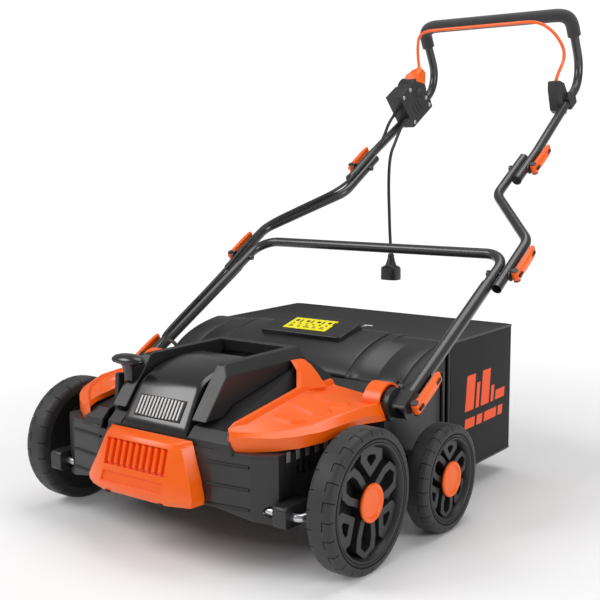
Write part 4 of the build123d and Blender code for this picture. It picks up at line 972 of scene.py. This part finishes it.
def make_label():
    """A plain yellow plate with rows of generic shapes: bars, squares and dots, and no lettering."""
    tilt = lean(LABEL_SLOPE)
    middle = at(0, 288, 299.6)

    def flat(bm, size, x, y, lift):
        made = box_part(bm, size, (x * MM, y * MM, lift * MM))
        lay(bm, made, tilt, middle)

    plate = bmesh.new()
    flat(plate, (94, 47, 1.2), 0, 0, 0)
    piece(plate, "label_plate", "flap", VINYL, ("warning_plate",), bevel=0.4)
    marks = bmesh.new()
    for i, width in enumerate((11, 6, 13, 8, 10)):
        flat(marks, (width, 2.2, 0.4), -34 + i * 17, -15, 0.7)
        flat(marks, (width * 0.6, 2.2, 0.4), -36 + i * 17, -10, 0.7)
    for i in range(4):
        flat(marks, (7, 7, 0.4), -36 + i * 24, 11, 0.7)
        flat(marks, (3, 12, 0.4), -26 + i * 24, 10, 0.7)
    for i in range(6):
        flat(marks, (4, 4, 0.4), -36 + i * 14.4, -1.5, 0.7)
    piece(marks, "label_marks", "flap", VINYL_INK)


# ---- catch bag -----------------------------------------------------------
BAG = {"half": 255.0, "front": 341.0, "rear": 591.0, "low": 44.0, "top": 282.0, "corner": 14, "lip": 112}
SEAM = 0.5              # how near a sewn edge a point counts as on it
SAG_FRAMES = 24
SAG_LIMIT = 9           # millimetres a point may move in the simulation
SIDE_X = 235            # past this distance from the middle, a face is on the bag's side


def bag_panels():
    """The sewn box before it sags: round rear corners, open at the front above its lower lip."""
    bm = bmesh.new()
    size = (2 * BAG["half"], BAG["rear"] - BAG["front"], BAG["top"] - BAG["low"])
    box_part(bm, size, at(0, (BAG["rear"] + BAG["front"]) / 2, (BAG["top"] + BAG["low"]) / 2))
    rear = at(0, BAG["rear"] - 1, 0).y
    upright = [e for e in bm.edges if all(v.co.y > rear for v in e.verts) and
               abs(e.verts[0].co.z - e.verts[1].co.z) > 0.1]
    chamfer(bm, upright, BAG["corner"], 4)
    cuts = [("x", -238 + 17 * i) for i in range(29)] + [("y", 352 + 16 * i) for i in range(15)]
    cuts += [("z", 60 + 17 * i) for i in range(13)] + [("z", BAG["lip"])]
    for axis, value in cuts:
        place = at(value, value, value)
        normal = tuple(1.0 if axis == name else 0.0 for name in "xyz")
        bmesh.ops.bisect_plane(bm, geom=bm.verts[:] + bm.edges[:] + bm.faces[:], plane_co=place, plane_no=normal,
                               dist=1e-6)
    front = at(0, BAG["front"] + SEAM, 0).y
    mouth = [f for f in bm.faces
             if all(v.co.y < front for v in f.verts) and f.calc_center_median().z > BAG["lip"] * MM]
    bmesh.ops.delete(bm, geom=mouth, context="FACES")
    return bm


def on_seam(co):
    """Whether a point lies on a sewn edge of the bag."""
    x, y, z = abs(co.x) / MM, (co.y - FRONT_AXLE_Y) / MM, co.z / MM
    bend = BAG["corner"] + SEAM
    flush = (x > BAG["half"] - SEAM, y < BAG["front"] + SEAM, y > BAG["rear"] - bend, z < BAG["low"] + SEAM,
             z > BAG["top"] - SEAM)
    corner = x > BAG["half"] - bend and y > BAG["rear"] - bend
    return sum(flush) >= 2 or corner or y < BAG["front"] + SEAM


def hang(obj):
    """Lets the panels between the pinned seams sag under their own weight, against a slight air pressure."""
    pins = obj.vertex_groups.new(name="seams")
    pins.add([v.index for v in obj.data.vertices if on_seam(v.co)], 1.0, "REPLACE")
    cloth = obj.modifiers.new("canvas", "CLOTH")
    cloth.settings.quality = 6
    cloth.settings.mass = 0.35
    cloth.settings.tension_stiffness = 40
    cloth.settings.compression_stiffness = 40
    cloth.settings.shear_stiffness = 20
    cloth.settings.bending_stiffness = 8
    cloth.settings.vertex_group_mass = "seams"
    cloth.settings.use_pressure = True
    cloth.settings.uniform_pressure_force = 0.6
    cloth.point_cache.frame_start = 1
    cloth.point_cache.frame_end = SAG_FRAMES
    for number in range(1, SAG_FRAMES + 1):
        bpy.context.scene.frame_set(number)
    settled = obj.evaluated_get(bpy.context.evaluated_depsgraph_get())
    mesh = bpy.data.meshes.new_from_object(settled)
    rest = [v.co.copy() for v in obj.data.vertices]
    limit = SAG_LIMIT * MM
    for v, home in zip(mesh.vertices, rest):
        move = v.co - home
        if move.length > limit:
            v.co = home + move.normalized() * limit
    obj.modifiers.remove(cloth)
    bpy.context.scene.frame_set(1)
    return mesh


PRINT_BARS = [(400, 432, 150, 214), (440, 452, 150, 196), (460, 492, 150, 214), (500, 512, 150, 180),
              (520, 560, 150, 168), (404, 440, 118, 136), (448, 470, 118, 136), (478, 528, 118, 136),
              (536, 556, 118, 136)]
PRINT_LEAN = 0.14
PRINT_FOOT = 150


def on_side(face):
    """Whether a face belongs to one of the bag's two side panels."""
    return abs(face.calc_center_median().x) > SIDE_X * MM and abs(face.normal.x) > 0.7


def print_side(bm):
    """Cuts the side panels along the printed bars and gives those faces the ink."""
    lines = sorted({edge for bar in PRINT_BARS for edge in bar[:2]})
    levels = sorted({edge for bar in PRINT_BARS for edge in bar[2:]})

    def side_geometry():
        faces = [f for f in bm.faces if on_side(f)]
        parts = set(faces)
        for f in faces:
            parts.update(f.edges)
            parts.update(f.verts)
        return list(parts)

    for y in lines:
        bmesh.ops.bisect_plane(bm, geom=side_geometry(), plane_co=at(0, y, PRINT_FOOT), plane_no=(0, 1, -PRINT_LEAN),
                               dist=1e-6)
    for z in levels:
        bmesh.ops.bisect_plane(bm, geom=side_geometry(), plane_co=at(0, 0, z), plane_no=(0, 0, 1), dist=1e-6)
    for f in bm.faces:
        middle = f.calc_center_median()
        y = (middle.y - FRONT_AXLE_Y) / MM
        z = middle.z / MM
        run = y - PRINT_LEAN * (z - PRINT_FOOT)
        if on_side(f) and any(a < run < b and c < z < d for a, b, c, d in PRINT_BARS):
            f.material_index = 1


def make_bag():
    """Canvas box: sagging panels, bound seams and a printed side."""
    bm = bag_panels()
    bm.normal_update()
    mesh = bpy.data.meshes.new("bag_rest")
    bm.to_mesh(mesh)
    bm.free()
    obj = linked("bag_rest", mesh)
    sagged = hang(obj)
    bm = bmesh.new()
    bm.from_mesh(sagged)
    bpy.data.objects.remove(obj)
    bm.normal_update()
    print_side(bm)
    bag = piece(bm, "bag_canvas", "bag", [CANVAS, INK], ("catch_bag",))
    wall = bag.modifiers.new("cloth_thickness", "SOLIDIFY")
    wall.thickness = 1.4 * MM
    wall.offset = -1
    half, front, rear, low, top = (BAG[key] for key in ("half", "front", "rear", "low", "top"))
    tape = bmesh.new()
    for z in (top, low):
        wire(tape, [(-half, front, z), (-half, rear - 14, z), (-half + 1, rear - 3, z), (-half + 14, rear, z),
                    (half - 14, rear, z), (half - 1, rear - 3, z), (half, rear - 14, z), (half, front, z)], 1.9,
             smooth=False)
    for sign in (-1, 1):
        corner = (sign * (half - 2.2), rear - 3.2)
        wire(tape, [(*corner, low), (*corner, top)], 1.7, smooth=False)
        wire(tape, [(sign * half, front, low), (sign * half, front, top)], 2.2, smooth=False)
    wire(tape, [(-half, front, top), (half, front, top)], 2.2, smooth=False)
    wire(tape, [(-half, front, BAG["lip"]), (half, front, BAG["lip"])], 2.2, smooth=False)
    piece(tape, "bag_binding", "bag", PIPING)


# ---- foam grip -----------------------------------------------------------
def make_grip():
    """A slit foam sleeve over the top bar, drawn as one even round bar."""
    bm = bmesh.new()
    low = [(184, 1029.1, 864.8), (184, 1021, 879)]
    corner = bezier((184, 1021, 879), (184, 1008, 902), (173, 1004.3, 908.2), (146, 1004.3, 908.2), 10)
    half = low + corner[1:]
    wire(bm, half + [(0, 1004.3, 908.2)] + mirrored(half), 14.6, smooth=False, resolution=8)
    bmesh.ops.remove_doubles(bm, verts=bm.verts, dist=1e-6)
    grip = piece(bm, "grip_foam", "handle_upper", FOAM, ("foam_grip",), bevel=1.6, segments=3)


# ---- motor lead ----------------------------------------------------------
def make_lead():
    """The lead clipped along the right-hand tubes, in three lengths."""
    box_end = (-184, 874.9, 698.7)
    top = [box_end, (-184, 852, 684), upper_at(-187, 455, 17), upper_at(-183, 410, 14.5), upper_at(-181, 351, 14.2),
           upper_at(-181, 300, 14.2)]
    middle = [upper_at(-181, 300, 14.2), upper_at(-181, 252, 14.2), upper_at(-238, 178, 14.6),
              upper_at(-294, 103, 15.2), upper_at(-296.6, 60, 15.2), upper_at(-296.6, 0, 15.2),
              lower_at(-286, 290, 15.7), lower_at(-284, 180, 15.7)]
    low = [lower_at(-284, 180, 15.7), lower_at(-284, 70, 15.7), lower_at(-250, 44, 30), (-222, 166, 262),
           (-216, 165, 245), (-216, 165, 228)]
    spans = [("lead_top", top, "handle_middle", "handle_upper", upper_at(-181, 310, 14), upper_at(-181, 400, 14)),
             ("lead_middle", middle, "handle_lower", "handle_middle", lower_at(-284, 300, 15),
              upper_at(-296, 45, 15)),
             ("lead_low", low, "chassis", "handle_lower", lower_at(-262, 30, 20), lower_at(-284, 110, 15.7))]
    for name, route, first, second, start, end in spans:
        bm = bmesh.new()
        wire(bm, route, CORD_RADIUS, steps=14)
        bmesh.ops.remove_doubles(bm, verts=bm.verts, dist=1e-6)
        mesh = bpy.data.meshes.new(name)
        bm.to_mesh(mesh)
        bm.free()
        mesh.materials.append(PVC)
        mesh.shade_smooth()
        obj = linked(name, mesh)
        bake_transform(obj)
        if name == "lead_top":
            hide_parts("motor_lead")


# ---- cam levers ----------------------------------------------------------
CLAMPS = (("lower", (143.0, 217.0), 306.7, 29.9), ("middle", (451.6, 394.5), 324.6, 31.2),
          ("upper", (751.8, 576.3), 220.1, 31.2))


def lever_place(x, y, z, point, pin_x, tilt, side):
    """A lever's own (out, up the handle, across) millimetres as a place on the machine."""
    a = radians(tilt)
    return at(side * (pin_x + x), point[0] + y * cos(a) - z * sin(a), point[1] + y * sin(a) + z * cos(a))


def make_levers():
    """Faceted cam paddles: a forked hub with a window, and a tapering handle with a hooked tip; the fork's gap and a
    strip near the tip are dark boxes of painted shade.
    """
    paddle = [(-6.5, 1), (-5, 7), (-2.2, 13), (-2.4, 30), (-1.6, 62), (-3, 74), (0, 80), (5, 79), (7.4, 60),
              (7.3, 30), (6.8, 12), (7.3, 4), (6, -5), (0, -7.4), (-5.5, -5)]
    for row, point, pin_x, tilt in CLAMPS:
        for side in (1, -1):
            bm = bmesh.new()
            frame_of = (point, pin_x, tilt, side)
            loops = []
            for z, slim in ((-9, 0.86), (-7, 1.0), (7, 1.0), (9, 0.86)):
                short = 0.97 + 0.03 * (slim == 1.0)
                verts = [bm.verts.new(lever_place(1 + (x - 1) * slim, 36 + (y - 36) * short, z, *frame_of))
                         for x, y in paddle]
                loops.append([bm.edges.new((verts[i], verts[(i + 1) % len(verts)])) for i in range(len(verts))])
            for first, second in zip(loops, loops[1:]):
                bmesh.ops.bridge_loops(bm, edges=first + second)
            cap_ends(bm, loops[0], loops[-1])
            body = f"{row}_cam_{name_of(side)}"
            piece(bm, f"{row}_paddle_{name_of(side)}", body, ORANGE,
                  (f"{row}_cam_lever_{name_of(side)}",), bevel=0.8)
            # Dark boxes of painted shade: in the fork of the hub and in a strip near the tip.
            gap = bmesh.new()
            turn = lean(tilt)
            box_part(gap, (9, 13, 5), lever_place(5.2, 4, 0, *frame_of), turn)
            box_part(gap, (1.2, 14, 6), lever_place(7.5, 66, 0, *frame_of), turn)
            piece(gap, f"{row}_fork_gap_shade_{name_of(side)}", body, NEAR_BLACK_AND_SHADE, bevel=0.4)


# ---- bail ----------------------------------------------------------------
def make_bail():
    """The dead-man's bail: a bent wire with splayed knees, a cam over the box and a clip on the left leg."""
    half = [(172, 954, 748), (173, 966, 776), (181, 982, 806), (183, 978, 832), (172, 956, 862), (154, 933, 882),
            (130, 927, 889)]
    bm = bmesh.new()
    wire(bm, half + [(96, 926, 889), (-96, 926, 889)] + mirrored(half), CORD_RADIUS, steps=14)
    piece(bm, "bail_wire", "bail", ORANGE_WIRE, ("bail_rod",))
    cam = bmesh.new()
    turn = lean(UPPER_SLOPE)
    hull(cam, [[box_place(x, along, up) for along, up in outline] for x, outline in (
        (-196, [(58, 90), (90, 66), (98, 84), (90, 96), (72, 100)]),
        (-188, [(56, 90), (92, 64), (104, 86), (94, 102), (70, 103)]),
        (-168, [(56, 90), (92, 64), (108, 90), (98, 108), (74, 103)]),
        (-160, [(60, 90), (90, 66), (104, 88), (94, 104), (74, 100)]))])
    piece(cam, "bail_cam", "bail", ORANGE, bevel=2.0, segments=3)
    clip = bmesh.new()
    hull(clip, [[(x, y, z) for y, z in outline] for x, outline in (
        (160, [(946, 744), (946, 762), (964, 763), (990, 722), (976, 694), (962, 700)]),
        (180, [(944, 742), (944, 763), (968, 764), (1004, 724), (984, 690), (962, 698)]),
        (190, [(950, 740), (950, 757), (968, 758), (1004, 722), (984, 692), (966, 702)]))])
    box_part(clip, (30, 34, 27), at(*upper_at(187, 631)), turn)
    piece(clip, "bail_clip", "handle_upper", MATTE_BLACK, ("bail_bracket",), bevel=2.0, segments=3)


make_camera()
make_cord()
make_studio()
dress()
make_wheels()
make_grille()
make_fairings()
make_skirt_details()
make_depth_lever()
make_box_details()
make_hood()
make_vent()
make_comb()
make_flap()
make_label()
make_bag()
make_grip()
make_lead()
make_levers()
make_bail()
